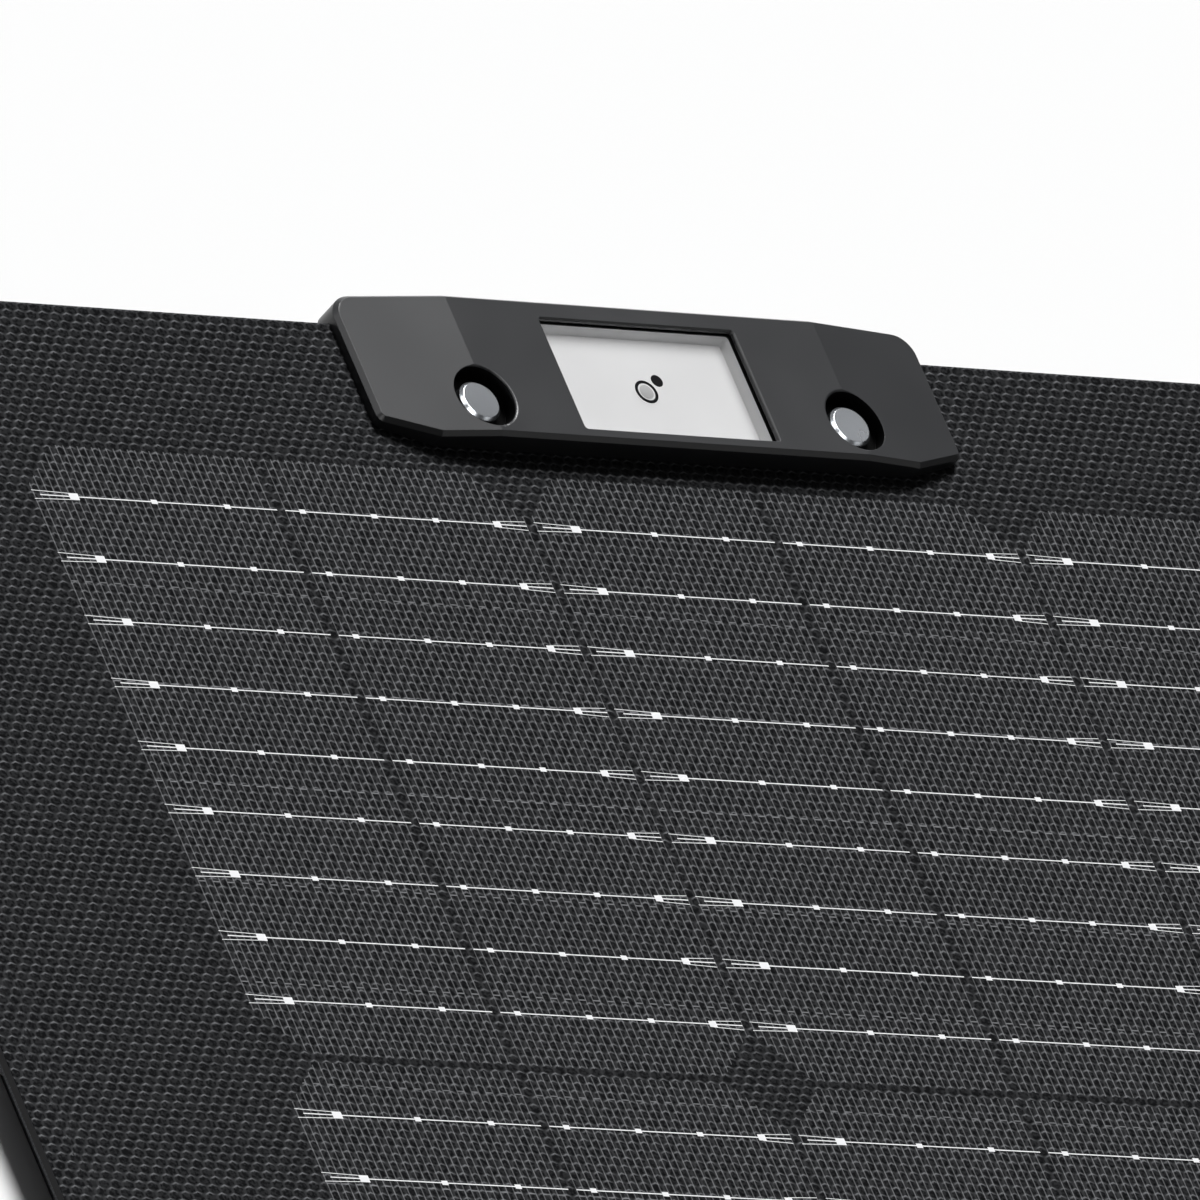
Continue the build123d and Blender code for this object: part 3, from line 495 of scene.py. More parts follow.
def finger_print(tree, height, cell_x0, first_bar_y):
    """Where the fingers and bridges are, 0 to 1. Fingers repeat along X from each half-cell's own start.
    A bridge is a line along X, one each BRIDGE_STEP down the leaf, drawn between every other two
    fingers. The bumps' height dims the fingers a little."""
    place = add_node(tree, "ShaderNodeTexCoord").outputs["Object"]
    split = add_node(tree, "ShaderNodeSeparateXYZ", inputs={"Vector": place})
    pairs = calc(tree, "DIVIDE", calc(tree, "SUBTRACT", split.outputs["X"], cell_x0), PAIR_PITCH)
    on_pair = calc(tree, "MULTIPLY", calc(tree, "FRACT", pairs), PAIR_PITCH)
    is_right = calc(tree, "GREATER_THAN", on_pair, (PAIR_PITCH - CELL_GAP) / 2)
    start = calc(tree, "MULTIPLY_ADD", is_right, RIGHT_START - LEFT_START, LEFT_START)
    along = calc(tree, "DIVIDE", calc(tree, "SUBTRACT", on_pair, start), FINGER_PITCH)
    turns = calc(tree, "FRACT", calc(tree, "ADD", along, 0.5))
    near = calc(tree, "ABSOLUTE", calc(tree, "SUBTRACT", turns, 0.5))
    half = FINGER_HALF / FINGER_PITCH
    finger = calc(tree, "SUBTRACT", 1.0, soft_step(tree, near, half * 0.6, half * 1.5))
    after_first = calc(tree, "GREATER_THAN", along, -0.5)
    before_last = calc(tree, "LESS_THAN", calc(tree, "SUBTRACT", along, is_right), LEFT_FINGERS - 0.5)
    inside = calc(tree, "MULTIPLY", after_first, before_last)
    finger = calc(tree, "MULTIPLY", finger, inside)
    rows = calc(tree, "DIVIDE", calc(tree, "SUBTRACT", first_bar_y, split.outputs["Y"]), BRIDGE_STEP)
    off = calc(tree, "SUBTRACT", calc(tree, "FRACT", calc(tree, "ADD", rows, BRIDGE_PHASE)), 0.5)
    line = calc(tree, "LESS_THAN", calc(tree, "ABSOLUTE", off), BRIDGE_HALF / BRIDGE_STEP)
    every_other = calc(tree, "LESS_THAN", calc(tree, "FRACT", calc(tree, "MULTIPLY", along, 0.5)), 0.5)
    bridge = calc(tree, "MULTIPLY", calc(tree, "MULTIPLY", line, every_other), inside)
    bridge = calc(tree, "MULTIPLY", bridge, calc(tree, "GREATER_THAN", rows, 0.0))
    wave = calc(tree, "MULTIPLY_ADD", height, -0.35, 0.95)
    return calc(tree, "MAXIMUM", calc(tree, "MULTIPLY", finger, wave), bridge)


def film_shader(name, fingers_from=None):
    """Embossed film over black laminate, or over cells whose grid starts at fingers_from (x, y)."""
    material, tree, shader = new_material(name, roughness=0.62, specular=0.01)
    pattern = place_group(tree, emboss)
    bump_tone = mix_colour(tree, soft_step(tree, pattern["Fleck"], 0.40, 0.62), BUMP_DARK, BUMP_LIGHT)
    base = mix_colour(tree, pattern["Web"], bump_tone, WEB_GREY)
    # Painted highlight along each bump's upper edge.
    colour = mix_colour(tree, pattern["Painted_Highlight"], base, PAINTED_HIGHLIGHT_GREY)
    if fingers_from is not None:
        print_mask = finger_print(tree, pattern["Height"], *fingers_from)
        colour = mix_colour(tree, print_mask, colour, FINGER)
    tree.links.new(colour, shader.inputs["Base Color"])
    bump(tree, shader, pattern["Height"], 0.35 * MM, 0.5)
    return material


border_finish = film_shader("embossed black border")
cell_finish = {
    "upper": film_shader("upper cells under film", (cells_low.x, cells_high.y - FIRST_BAR)),
    "lower": film_shader("lower cells under film", (cells_low.x, -(cells_low.y + FIRST_BAR))),
}
for name in ("upper_front_film", "lower_front_film", "spine_front_film"):
    nodes[name].data.materials.clear()
    nodes[name].data.materials.append(border_finish)
print("film finishes: border and", sorted(cell_finish))

# %% [markdown]
# ## The cells
# Each half-cell is a thin dark plate with two cut corners. Laminating presses film and cell together,
# so nothing of the cell stands proud but its outline still shows through. They are made as one field
# of six-cornered prisms, a few hundredths of a millimetre over the film's face.

# %% Cells
CORNER_CUT = 15.0 * MM
LAYER = 0.03 * MM
CELL_TOP = front_z + LAYER


def cell_places(side):
    """Middle of each half-cell, (n, 2), and the side of its cut corners: -1 for left and 1 for right."""
    columns = np.arange(6)
    x = cells_low.x + HALF_CELL[0] / 2 + columns * (HALF_CELL[0] + CELL_GAP)
    y = side * (cells_low.y + HALF_CELL[1] / 2 + np.arange(2) * (HALF_CELL[1] + CELL_GAP))
    grid_x, grid_y = np.meshgrid(x, y, indexing="ij")
    cut = np.broadcast_to(np.where(columns % 2 == 0, -1, 1)[:, None], grid_x.shape)
    return np.stack([grid_x.ravel(), grid_y.ravel()], 1), cut.ravel()


def make_cells(name, side):
    """Outline of a half-cell: a rectangle w by l with the two corners on its cut side taken off at 45
    degrees, anticlockwise."""
    centres, cut = cell_places(side)
    w, l = HALF_CELL[0] / 2, HALF_CELL[1] / 2
    near_corner = [(w - CORNER_CUT, -l), (w, CORNER_CUT - l)]
    far_corner = [(w, l - CORNER_CUT), (w - CORNER_CUT, l)]
    right_cut = np.array([(-w, -l), *near_corner, *far_corner, (-w, l)])
    left_cut = (right_cut * (-1, 1))[::-1]
    outlines = np.where(cut[:, None, None] > 0, right_cut, left_cut) + centres[:, None, :]
    points, faces = prism_field(outlines, front_z, CELL_TOP)
    made = piece_from(f"{name}_cell_faces", points, faces, cell_finish[name])
    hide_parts(f"{name}_cells")
    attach(made, f"{name}_leaf")
    print(made.name, len(centres), "half-cells")


make_cells("upper", 1)
make_cells("lower", -1)

# %% [markdown]
# ## Busbars, pads and forks
# Nine silver lines cross every half-cell. Near the wafer's outer edge each line is joined by two finer
# ones that spread apart, so that it looks like a fork. Solder pads sit on the line: a big one where the
# fork closes, small ones in between. Every mark is a flat four-cornered prism.

# %% Busbar print
LINE_HALF_MM = 0.18
FORK_HALF = 0.11 * MM
FORK_OPEN, FORK_SHUT = 1.5, 1.05      # a fork line's distance from the busbar at its two ends, mm
BIG_PAD = (1.75, 1.2)                 # half sizes, mm
END_PAD = (1.4, 1.05)
SMALL_PAD = (1.15, 0.75)
LINE_T = 0.03 * MM
PAD_T = 0.05 * MM


def rectangles(centres, half_x, half_y):
    """Axis-aligned four-cornered outlines (n, 4, 2) about centres, anticlockwise."""
    centres = np.asarray(centres, float)
    box = np.array([(-1, -1), (1, -1), (1, 1), (-1, 1)], float)
    half = np.stack(np.broadcast_arrays(half_x, half_y), -1) * np.ones((len(centres), 1))
    return centres[:, None, :] + box[None] * half[:, None, :]


def slanted(start, end, half):
    """Thin outlines (n, 4, 2) between start and end points (n, 2), level at both ends."""
    start, end = np.asarray(start, float), np.asarray(end, float)
    lift = np.array((0, half))
    return np.stack([start - lift, end - lift, end + lift, start + lift], 1)


def bar_marks():
    """Marks of one line on a half-cell, from its left edge, for the left-cut and right-cut kinds.

    Each is (rectangles (x, y, half_x, half_y), forks (x0, y0, x1, y1)), in millimetres."""

    def line(start, end):
        return [((start + end) / 2, 0, (end - start) / 2, LINE_HALF_MM)]

    left_pads = [(15.4, 0, *BIG_PAD), (45.2, 0, *SMALL_PAD), (72.4, 0, *SMALL_PAD)]
    left_forks = [(0.2, side * FORK_OPEN, 15.4, side * FORK_SHUT) for side in (-1, 1)]
    right_pads = [(x, 0, *SMALL_PAD) for x in (6.5, 33.4, 56.5)] + [(79.7, 0, *END_PAD)]
    right_forks = [(79.7, side * FORK_SHUT, 90.8, side * FORK_OPEN) for side in (-1, 1)]
    return {
        -1: (left_pads + line(2.9, HALF_CELL[0] / MM), left_forks),
        1: (right_pads + line(0.1, 90.8), right_forks),
    }


def make_busbars(name, side):
    """All marks of one leaf, one prism each, laid on the cells."""
    centres, cut = cell_places(side)
    bars = (np.arange(BAR_COUNT) - (BAR_COUNT - 1) / 2) * BUSBAR_PITCH
    marks = bar_marks()
    outlines, tops = [], []
    for kind in (-1, 1):
        left = centres[cut == kind] - (HALF_CELL[0] / 2, 0)
        origins = (left[:, None, :] + np.stack([bars * 0, bars], 1)[None]).reshape(-1, 2)
        boxes, forks = marks[kind]
        for x, y, half_x, half_y in boxes:
            outlines.append(rectangles(origins + (x * MM, y * MM), half_x * MM, half_y * MM))
            thickness = LINE_T if half_y <= LINE_HALF_MM else PAD_T
            tops.append(np.full(len(origins), CELL_TOP + thickness))
        for x0, y0, x1, y1 in forks:
            start, end = origins + (x0 * MM, y0 * MM), origins + (x1 * MM, y1 * MM)
            outlines.append(slanted(start, end, FORK_HALF))
            tops.append(np.full(len(origins), CELL_TOP + LINE_T))
    outlines = np.concatenate(outlines)
    points, faces = prism_field(outlines, CELL_TOP, np.concatenate(tops))
    made = piece_from(f"{name}_busbar_print", points, faces, silver_finish)
    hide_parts(f"{name}_busbars")
    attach(made, f"{name}_leaf")
    print(made.name, len(outlines), "marks")


def make_silver():
    """Printed silver paste: matt and nearly white, lighter where the film's painted highlight crosses it."""
    material, tree, shader = new_material("silver paste", (0.9, 0.9, 0.91), 0.55, 0.0, 0.3)
    pattern = place_group(tree, emboss)
    # Painted highlight: the silver is lighter under each bump's highlight arch.
    silver_with_highlight = mix_colour(tree, pattern["Painted_Highlight"], (0.88, 0.885, 0.90, 1), (0.97, 0.97, 0.975, 1))
    tree.links.new(silver_with_highlight, shader.inputs["Base Color"])
    return material


silver_finish = make_silver()
make_busbars("upper", 1)
make_busbars("lower", -1)

# %% [markdown]
# ## Tape over the folds
# At each fold line the stiff boards stop and only cloth and film carry on. A strip of the same embossed
# film covers the front of the gap and a strip of cloth covers its back. Each strip is divided finely
# across the fold. The strips are laid later, when the cloth's finish is there.

# %% Fold tapes
TAPE_HALF = 7.0 * MM
TAPE_T = 0.25 * MM
CLOTH_TAPE_T = 0.4 * MM
TAPE_INSET = 0.4 * MM
STATIONS_ALONG = 37
STATIONS_ACROSS = 29


def make_tape(name, fold_y, bodies, low, high, material, slot_name):
    """A flat strip along X, closed all round: an even grid of points in x and y, on two heights, with a
    wall of quads round its rim."""
    half_x = panel_width / 2 - TAPE_INSET
    x = np.linspace(-half_x, half_x, STATIONS_ALONG)
    y = fold_y + np.linspace(-TAPE_HALF, TAPE_HALF, STATIONS_ACROSS)
    grid_x, grid_y = np.meshgrid(x, y, indexing="ij")
    n, m = grid_x.shape
    upper = np.stack([grid_x, grid_y, np.full_like(grid_x, high)], 2).reshape(-1, 3)
    lower = np.stack([grid_x, grid_y, np.full_like(grid_x, low)], 2).reshape(-1, 3)
    i, j = np.meshgrid(np.arange(n - 1), np.arange(m - 1), indexing="ij")
    quads = np.stack([i * m + j, (i + 1) * m + j, (i + 1) * m + j + 1, i * m + j + 1], 2).reshape(-1, 4)
    count = n * m
    edge = np.concatenate(
        [
            np.arange(n) * m,
            (n - 1) * m + np.arange(1, m),
            (np.arange(n - 1)[::-1]) * m + m - 1,
            np.arange(1, m - 1)[::-1],
        ]
    )
    nxt = np.roll(edge, -1)
    rim = np.stack([edge + count, nxt + count, nxt, edge], 1)
    faces = quads.tolist() + (quads[:, ::-1] + count).tolist() + rim.tolist()
    made = piece_from(name, np.concatenate([upper, lower]), faces, material)
    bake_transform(made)
    return made


# %% [markdown]
# ## Finishes of the back and of the mouldings
# Cloth is a weave with a dull coat, mouldings are fine-grained black plastic, fittings are plated or
# painted metal, and rubber is the mattest of all.

# %% Plain finishes
RECESS_R = 10.45 * MM
# Painted shade: the magnet recesses are painted near black and nearly without gloss, in place of the shade that
# falls in them.
RECESS_PAINTED_SHADE = (0.004, 0.004, 0.004, 1)
RECESS_SHADE_GLOSS = 0.02


def make_cloth(name, dark, light, thread):
    """Coated woven cloth: the weave gives the height, and the colour from random slub and from painted
    shade in the hollows between threads.
    """
    material, tree, shader = new_material(name, roughness=0.85, specular=0.2)
    pattern = place_group(tree, weave, Thread=thread)
    colour = mix_colour(tree, pattern["Slub_And_Painted_Shade"], (*dark, 1), (*light, 1))
    tree.links.new(colour, shader.inputs["Base Color"])
    shader.inputs["Sheen Weight"].default_value = 0.15
    bump(tree, shader, pattern["Height"], 0.25 * MM, 0.6)
    return material


def make_moulding(name, colour, roughness, specular, round_edge=0.35 * MM, scale=1800.0, depth=0.03):
    """Moulded plastic or rubber: fine grain in the height, clouding in colour and roughness, and
    edges that catch the light as if they were slightly round."""
    material, tree, shader = new_material(name, colour, roughness, 0.0, specular)
    pattern = place_group(tree, grain, Scale=scale)
    light = tuple(min(1.0, c * 1.12) for c in colour)
    dark = tuple(c * 0.90 for c in colour)
    tint = mix_colour(tree, pattern["Cloud"], (*dark, 1), (*light, 1))
    tree.links.new(tint, shader.inputs["Base Color"])
    rough = calc(tree, "MULTIPLY_ADD", pattern["Cloud"], 0.12, roughness - 0.06)
    tree.links.new(rough, shader.inputs["Roughness"])
    bump(tree, shader, pattern["Height"], depth * MM, 0.5)
    if round_edge:
        bump_node = shader.inputs["Normal"].links[0].from_node
        rounded = add_node(tree, "ShaderNodeBevel", samples=4, inputs={"Radius": round_edge})
        tree.links.new(rounded.outputs["Normal"], bump_node.inputs["Normal"])
    return material


def make_metal(name, colour, roughness, round_edge=0.2 * MM):
    """Plated or bare metal with faint clouding in its roughness."""
    material, tree, shader = new_material(name, colour, roughness, 1.0)
    pattern = place_group(tree, grain, Scale=900.0)
    rough = calc(tree, "MULTIPLY_ADD", pattern["Cloud"], 0.10, roughness - 0.05)
    tree.links.new(rough, shader.inputs["Roughness"])
    rounded = add_node(tree, "ShaderNodeBevel", samples=4, inputs={"Radius": round_edge})
    tree.links.new(rounded.outputs["Normal"], shader.inputs["Normal"])
    return material


def make_clear(name):
    """Clear acrylic as a thin coat of gloss: almost nothing of it shows but its reflections."""
    material, tree, shader = new_material(name, (0.02, 0.021, 0.022), 0.06, 0.0, 0.8)
    pattern = place_group(tree, grain, Scale=60.0)
    rough = calc(tree, "MULTIPLY_ADD", pattern["Cloud"], 0.04, 0.04)
    tree.links.new(rough, shader.inputs["Roughness"])
    shader.inputs["Alpha"].default_value = 0.05
    return material


def paint_recess_shade(material):
    """Paints shade into the two magnet recesses: wherever the flat distance from a magnet's axis is
    less than the recess radius, the colour turns near black and the gloss drops. The mask reads x
    and y only, so it paints this shade at any height. The two axes mirror each other in x."""
    tree = material.node_tree
    shader = next(node for node in tree.nodes if node.type == "BSDF_PRINCIPLED")
    low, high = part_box("dial_magnets")
    magnet_r = (high.y - low.y) / 2
    place = add_node(tree, "ShaderNodeTexCoord").outputs["Object"]
    split = add_node(tree, "ShaderNodeSeparateXYZ", inputs={"Vector": place})
    sideways = calc(tree, "SUBTRACT", calc(tree, "ABSOLUTE", split.outputs["X"]), high.x - magnet_r)
    upwards = calc(tree, "SUBTRACT", split.outputs["Y"], low.y + magnet_r)
    squares = calc(tree, "MULTIPLY_ADD", sideways, sideways, calc(tree, "MULTIPLY", upwards, upwards))
    # Painted shade: near black and little gloss inside the recess radius, at any height.
    recess_shade_mask = calc(tree, "LESS_THAN", calc(tree, "SQRT", squares), RECESS_R)
    plain = shader.inputs["Base Color"].links[0].from_socket
    tree.links.new(mix_colour(tree, recess_shade_mask, plain, RECESS_PAINTED_SHADE), shader.inputs["Base Color"])
    gloss = mix_value(tree, recess_shade_mask, shader.inputs["Specular IOR Level"].default_value, RECESS_SHADE_GLOSS)
    tree.links.new(gloss, shader.inputs["Specular IOR Level"])
    return material


finishes = {
    # The housing finish carries the painted shade of the magnet recesses.
    "housing": paint_recess_shade(
        make_moulding("satin housing plastic", (0.0335, 0.0345, 0.0370), 0.34, 0.33)
    ),
    "box_plastic": make_moulding("black box plastic", (0.022, 0.022, 0.024), 0.5, 0.4),
    "stand_plastic": make_moulding("stand board", (0.020, 0.021, 0.023), 0.6, 0.3),
    "stiffener": make_moulding("stiffener board", (0.018, 0.018, 0.019), 0.7, 0.2, 0.0),
    "encapsulant": make_moulding("encapsulant", (0.016, 0.016, 0.018), 0.7, 0.2, 0.0),
    "rubber": make_moulding("black rubber", (0.018, 0.018, 0.018), 0.8, 0.25, 0.3 * MM, 900.0, 0.06),
    "gasket_rubber": make_moulding("gasket rubber", (0.006, 0.006, 0.006), 0.85, 0.03, 0.0),
    "tray_white": make_moulding("white tray", (0.74, 0.74, 0.745), 0.55, 0.25, 0.25 * MM, 1400.0, 0.01),
    "print_black": make_moulding("black print", (0.008, 0.008, 0.009), 0.6, 0.03, 0.0),
    "print_grey": make_moulding("grey print", (0.50, 0.50, 0.505), 0.6, 0.2, 0.0, 5200.0, 0.02),
    "diode_black": make_moulding("component plastic", (0.02, 0.02, 0.02), 0.5, 0.3, 0.1 * MM),
    "circuit_green": make_moulding("circuit board", (0.02, 0.11, 0.05), 0.4, 0.4, 0.0),
    "hinge_metal": make_moulding(
        "painted hinge steel", (0.022, 0.022, 0.024), 0.45, 0.5, 0.25 * MM, 1200.0, 0.04
    ),
    "magnet_metal": make_metal("nickel-plated magnet", (0.65, 0.68, 0.72), 0.26, 0.3 * MM),
    "screw_steel": make_metal("plated screw steel", (0.36, 0.36, 0.38), 0.35),
    "rivet_aluminium": make_metal("rivet aluminium", (0.55, 0.56, 0.58), 0.4),
    "eyelet_metal": make_metal("nickel eyelet", (0.52, 0.53, 0.55), 0.28),
    "socket_metal": make_metal("plated socket", (0.55, 0.55, 0.56), 0.3),
    "tinned_ribbon": make_metal("tinned ribbon", (0.6, 0.6, 0.61), 0.35, 0.05 * MM),
    "back_cloth": make_cloth("woven back cloth", (0.012, 0.013, 0.015), (0.052, 0.054, 0.060), 0.75 * MM),
    "clear_window": make_clear("clear acrylic"),
}
slots = {row["node"]: row["material_slot"] for row in frame["record"]["subparts"]}
for node_name, node in nodes.items():
    finish = finishes.get(slots[node_name])
    if finish is not None:
        node.data.materials.clear()
        node.data.materials.append(finish)
print(len(finishes), "finishes on", len(nodes), "nodes")

# %% [markdown]
# ## Eyelets
# A plated eyelet is a short tube that is pushed through the sheet and rolled over on both sides. Its
# section is the tube's wall with a rounded brim at each end, turned about the hole's axis. Four sit in
# each leaf's corners, and 48 steps round keep their brims smooth.

# %% Eyelets
HOLE_R = 4.0 * MM
BARREL_R = 4.8 * MM
BRIM_R = 8.0 * MM
BRIM_T = 0.6 * MM


def eyelet_profile():
    """The section, anticlockwise in (r, z): back brim, tube and front brim, each brim's outer edge and
    throat rounded with quarter circles."""
    round_r = BRIM_T * 0.75
    throat = BRIM_T
    low, high = back_z - BRIM_T, front_z + BRIM_T
    return np.concatenate(
        [
            arc((HOLE_R + throat, low + throat), throat, 180, 270),
            arc((BRIM_R - round_r, low + round_r), round_r, 270, 360),
            [(BRIM_R, back_z), (BARREL_R, back_z), (BARREL_R, front_z), (BRIM_R, front_z)],
            arc((BRIM_R - round_r, high - round_r), round_r, 0, 90),
            arc((HOLE_R + throat, high - throat), throat, 90, 180),
        ]
    )


for name in ("upper", "lower"):
    low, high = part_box(f"{name}_eyelets")
    xs, ys = (low.x + BRIM_R, high.x - BRIM_R), (low.y + BRIM_R, high.y - BRIM_R)
    spots = [(x, y) for x in xs for y in ys]
    made = piece_from(
        f"{name}_rolled_eyelets", *turned(eyelet_profile(), spots), finishes["eyelet_metal"], True
    )
    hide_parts(f"{name}_eyelets")
    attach(made, f"{name}_leaf")
print("eyelets", 2 * len(spots))

# %% [markdown]
# ## Bumpers and rivets
# Both are solids of one turned profile. A rubber bumper tapers a little, has a shallow groove round
# its waist and a dished sole that grips. A rivet's head is a low dome. Their profiles start and end
# on the axis, where one point closes the fan.

# %% Bumpers and rivets
def turned_solid(profile, centres, turns=32):
    """A solid from an open profile (r, z) that starts and ends on the axis: rings for the points with
    r over 0 and one point for each pole."""
    profile = np.asarray(profile, float)
    rings, k = profile[1:-1], len(profile) - 2
    t = np.arange(turns) * 2 * np.pi / turns
    body = np.stack(
        [
            np.cos(t)[:, None] * rings[None, :, 0],
            np.sin(t)[:, None] * rings[None, :, 0],
            np.broadcast_to(rings[None, :, 1], (turns, k)),
        ],
        2,
    ).reshape(-1, 3)
    poles = np.array([(0, 0, profile[0, 1]), (0, 0, profile[-1, 1])])
    one = np.concatenate([body, poles])
    i = np.arange(turns)
    i2 = (i + 1) % turns
    here = i[:, None] * k + np.arange(k - 1)
    beside = i2[:, None] * k + np.arange(k - 1)
    quads = np.stack([here, beside, beside + 1, here + 1], 2).reshape(-1, 4)
    foot = np.stack([np.full(turns, turns * k), i2 * k, i * k], 1)
    crown = np.stack([np.full(turns, turns * k + 1), i * k + k - 1, i2 * k + k - 1], 1)
    centres = np.asarray(centres, float)
    shift = np.concatenate([centres, np.zeros((len(centres), 1))], 1)
    starts = np.arange(len(centres)) * len(one)
    points = (one[None] + shift[:, None]).reshape(-1, 3)
    faces = [(f + start).tolist() for start in starts for f in (*quads, *foot, *crown)]
    return points, faces


def bumper_profile(radius, top):
    """From the sole's middle out, up the side past the groove, and in along the top. The groove is
    half a wave deep: r = radius - groove cos(pi w / 2) for w from -1 to 1."""
    edge, bevel, dish = 1.5 * MM, 0.4 * MM, 0.6 * MM
    groove, groove_half, groove_z = 0.5 * MM, 1.6 * MM, top * 0.55
    waist = np.linspace(-1, 1, 7)
    side = np.stack([radius - groove * np.cos(waist * np.pi / 2), groove_z + waist * groove_half], 1)
    return np.concatenate(
        [
            [(0, dish), (radius * 0.55, dish), (radius * 0.62, 0.0)],
            arc((radius - edge, edge), edge, 270, 360),
            side,
            [(radius, top - bevel), (radius - bevel, top), (0, top)],
        ]
    )


def rivet_profile(radius, head, top):
    """A low dome below the plate: r = R sin a and z = top - head cos a."""
    a = np.linspace(0, np.pi / 2, 7)
    return np.concatenate([np.stack([radius * np.sin(a), top - head * np.cos(a)], 1), [(0, top)]])


BUMPER_R = 8.0 * MM
HINGE_OFFSET = 95.0 * MM
RIVET_STEP = 16.0 * MM


def lay_bumpers(name):
    """Four bumpers, one near each corner of the leaf."""
    low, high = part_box(f"{name}_bumpers")
    xs, ys = (low.x + BUMPER_R, high.x - BUMPER_R), (low.y + BUMPER_R, high.y - BUMPER_R)
    spots = [(x, y) for x in xs for y in ys]
    bumpers = turned_solid(bumper_profile(BUMPER_R, high.z), spots)
    made = piece_from(f"{name}_grip_bumpers", *bumpers, finishes["rubber"], True)
    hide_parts(f"{name}_bumpers")
    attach(made, f"{name}_leaf")


def lay_rivets(name):
    """Three rivets in each of the stand's two hinge plates."""
    low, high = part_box(f"{name}_hinge_rivets")
    middle = (low + high) / 2
    steps = [side * HINGE_OFFSET + step * RIVET_STEP for side in (-1, 1) for step in (-1, 0, 1)]
    spots = [(middle.x, middle.y + along) for along in steps]
    profile = rivet_profile((high.x - low.x) / 2, high.z - low.z, high.z)
    rivets = turned_solid(profile, spots, 24)
    made = piece_from(f"{name}_domed_rivets", *rivets, finishes["rivet_aluminium"], True)
    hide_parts(f"{name}_hinge_rivets")
    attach(made, f"{name}_leaf")


for name in ("upper", "lower"):
    lay_bumpers(name)
    lay_rivets(name)
print("bumpers and rivets made")

# %% [markdown]
# ## Hems and stitches
# The back cloth is folded over at its edges and sewn down, and so is the cover of each stand. A hem is
# four mitred strips. A stitch is a short thread that rises out of the cloth and dives back into it:
# a bent tube of five rings. One formula places all of a seam's stitches at once.

# %% Hems and stitches
HEM_W = 10.0 * MM
HEM_T = 0.35 * MM
STITCH = 3.0 * MM
STITCH_STEP = 4.2 * MM
THREAD_R = 0.24 * MM
THREAD_SIDES = 6
THREAD_RINGS = 5
LEAF_SEAM = HEM_W - 2.5 * MM     # from the leaf's edge, so 2.5 mm inside the hem's own
STAND_SEAM = 6.0 * MM        # from the stand cover's edge
EYELET_INSET = 14.0 * MM     # an eyelet's axis, from the panel's long edges
EYELET_CLEAR = 24.0 * MM     # no stitches nearer than this to a leaf's end, beside an eyelet
CORNER_CLEAR = 12.0 * MM     # nor this near to a stand's corner


def seam_path(low, high, inset):
    """Starts and ends (n, 2) of the stitches along a rectangle's four sides, inset from its edges."""
    x0, y0, x1, y1 = low.x + inset, low.y + inset, high.x - inset, high.y - inset
    starts, ends = [], []
    for a, b in (((x0, y0), (x1, y0)), ((x1, y0), (x1, y1)), ((x1, y1), (x0, y1)), ((x0, y1), (x0, y0))):
        a, b = np.array(a), np.array(b)
        length = np.linalg.norm(b - a)
        count = int(length / STITCH_STEP)
        at = (np.arange(count) + 0.5) * length / count
        way = (b - a) / length
        starts.append(a + (at - STITCH / 2)[:, None] * way)
        ends.append(a + (at + STITCH / 2)[:, None] * way)
    return np.concatenate(starts), np.concatenate(ends)


def stitches(starts, ends, surface_z):
    """Tubes under a level cloth: the middle line is start + u (end - start), lowered by the thread's
    radius times 1.5 sin(pi u)."""
    sides, rings = THREAD_SIDES, THREAD_RINGS
    u = np.linspace(0, 1, rings)
    way = (ends - starts) / np.linalg.norm(ends - starts, axis=1)[:, None]
    across = np.stack([-way[:, 1], way[:, 0]], 1)
    turn = np.arange(sides) * 2 * np.pi / sides
    flat = starts[:, None, :] + u[None, :, None] * (ends - starts)[:, None, :]
    xy = flat[:, :, None, :] + THREAD_R * np.cos(turn)[None, None, :, None] * across[:, None, None, :]
    dip = 1.5 * THREAD_R * np.sin(np.pi * u)
    z = surface_z - dip[None, :, None] + THREAD_R * np.sin(turn)[None, None, :]
    z = np.broadcast_to(z, xy.shape[:3])
    points = np.concatenate([xy, z[..., None]], 3).reshape(-1, 3)
    i, j = np.meshgrid(np.arange(rings - 1) * sides, np.arange(sides), indexing="ij")
    j2 = (j + 1) % sides
    side = np.stack([i + j, i + j2, i + sides + j2, i + sides + j], 2).reshape(-1, 4)
    begin, end = np.arange(sides)[::-1], sides * (rings - 1) + np.arange(sides)
    base = (np.arange(len(starts)) * sides * rings)[:, None]
    faces = (side.reshape(1, -1) + base).reshape(-1, 4).tolist()
    return points, faces + (begin[None] + base).tolist() + (end[None] + base).tolist()


def hem(low, high, top):
    """Four mitred strips round a rectangle, HEM_W wide and HEM_T thick, hanging from the height top."""
    x0, y0, x1, y1, w = low.x, low.y, high.x, high.y, HEM_W
    outer = np.array([(x0, y0), (x1, y0), (x1, y1), (x0, y1)])
    inner = outer + np.array([(w, w), (-w, w), (-w, -w), (w, -w)])
    nxt = np.roll(np.arange(4), -1)
    outlines = np.stack([outer, outer[nxt], inner[nxt], inner], 1)
    return prism_field(outlines, top - HEM_T, top)


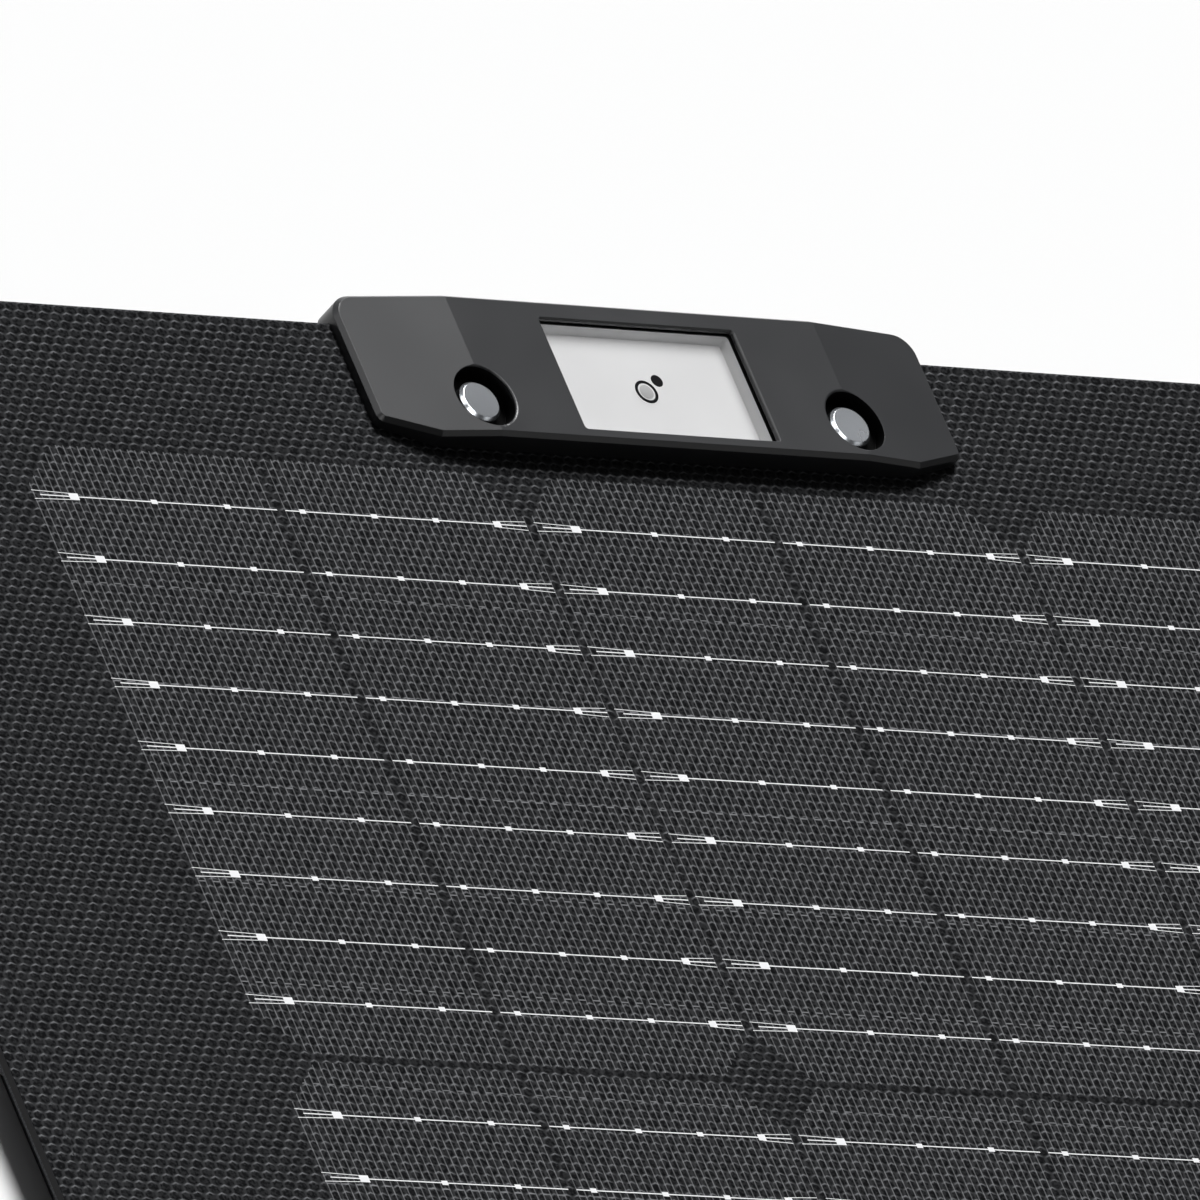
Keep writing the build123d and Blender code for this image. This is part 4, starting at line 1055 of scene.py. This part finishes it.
def sew_hem(name):
    """The leaf's hem and its seam, which stops short of the module's back shell and of the eyelets."""
    low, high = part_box(f"{name}_back_cloth")
    made = piece_from(f"{name}_cloth_hem", *hem(low, high, low.z), finishes["back_cloth"])
    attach(made, f"{name}_leaf")
    starts, ends = seam_path(low, high, LEAF_SEAM)
    x, y = ((starts + ends) / 2).T
    outer_y = high.y if name == "upper" else low.y
    shell = (np.abs(x) < module_high.x + STITCH) & (np.abs(y - outer_y) < 2 * HEM_W)
    beside_eyelet = np.abs(np.abs(x) - (high.x - EYELET_INSET)) < BRIM_R + STITCH
    at_end = np.minimum(np.abs(y - low.y), np.abs(y - high.y)) < EYELET_CLEAR
    keep = ~(shell | (beside_eyelet & at_end))
    seam = stitches(starts[keep], ends[keep], low.z - HEM_T)
    made = piece_from(f"{name}_hem_stitches", *seam, thread, True)
    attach(made, f"{name}_leaf")


def sew_stand(name):
    """The seam of a stand's cover, away from its rounded corners and its rubber foot."""
    low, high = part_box(f"{name}_stand_cover")
    starts, ends = seam_path(low, high, STAND_SEAM)
    x, y = ((starts + ends) / 2).T
    past_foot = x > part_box(f"{name}_stand_foot")[1].x + STITCH
    to_side = np.abs(x - (low.x + high.x) / 2) - (high.x - low.x) / 2
    to_end = np.abs(y - (low.y + high.y) / 2) - (high.y - low.y) / 2
    keep = past_foot & (np.hypot(to_side, to_end) > CORNER_CLEAR)
    seam = stitches(starts[keep], ends[keep], low.z)
    made = piece_from(f"{name}_cover_stitches", *seam, thread, True)
    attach(made, f"{name}_stand")


thread = make_cloth("sewing thread", (0.055, 0.056, 0.060), (0.12, 0.122, 0.13), 0.3 * MM)
for name in ("upper", "lower"):
    sew_hem(name)
    sew_stand(name)
print("hems and stitches made")

# %% [markdown]
# ## Foot ribs
# Each stand ends in a rubber bar. Ribs across its outer face keep it from slipping when it is dug into
# soft ground. They are short upright prisms, one every 5 mm.

# %% Foot ribs
RIB_STEP = 5.0 * MM
RIB_HALF = 1.1 * MM
RIB_PROUD = 0.5 * MM
RIB_MARGIN = 1.4 * MM
for name in ("upper", "lower"):
    low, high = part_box(f"{name}_stand_foot")
    count = int((high.y - low.y - 2 * RIB_STEP) / RIB_STEP)
    y = (low.y + high.y) / 2 + (np.arange(count) - (count - 1) / 2) * RIB_STEP
    centres = np.stack([np.full(count, low.x), y], 1)
    ribs = rectangles(centres, RIB_PROUD, RIB_HALF)
    bars = prism_field(ribs, low.z + RIB_MARGIN, high.z - RIB_MARGIN)
    made = piece_from(f"{name}_foot_ribs", *bars, finishes["rubber"])
    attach(made, f"{name}_stand")
print("ribs on each foot:", count)

# %% [markdown]
# ## Laying the tapes
# A strip of film and a strip of cloth are laid over each fold line.

# %% Lay the fold tapes
for label in ("upper", "lower"):
    fold_y, bodies = fold_ys[f"{label}_fold"], (f"{label}_leaf", "spine")
    heights = (front_z + LAYER / 2, front_z + TAPE_T)
    front = make_tape(f"{label}_fold_tape", fold_y, bodies, *heights, border_finish, "front_film")
    heights = (back_z - CLOTH_TAPE_T, back_z - LAYER)
    back = make_tape(f"{label}_fold_cloth", fold_y, bodies, *heights, finishes["back_cloth"], "back_cloth")

for name in ("upper", "lower"):
    low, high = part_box(f"{name}_stand_cover")
low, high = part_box("spine_back_cloth")

# %% [markdown]
# ## Floor
# A plain pale sheet a little larger than the view needs, just under the bumpers.

# %% Floor
FLOOR_HALF = 9.0
FLOOR_Z = -0.2 * MM
floor_finish = new_material("pale floor", (0.96, 0.96, 0.96), 0.9, 0.0, 0.1)[0]
corners = np.array([(-1, -1, 0), (1, -1, 0), (1, 1, 0), (-1, 1, 0)])
floor = piece_from("floor", corners * FLOOR_HALF + (0, 0, FLOOR_Z), [[0, 1, 2, 3]], floor_finish)
print("floor", 2 * FLOOR_HALF, "m wide")
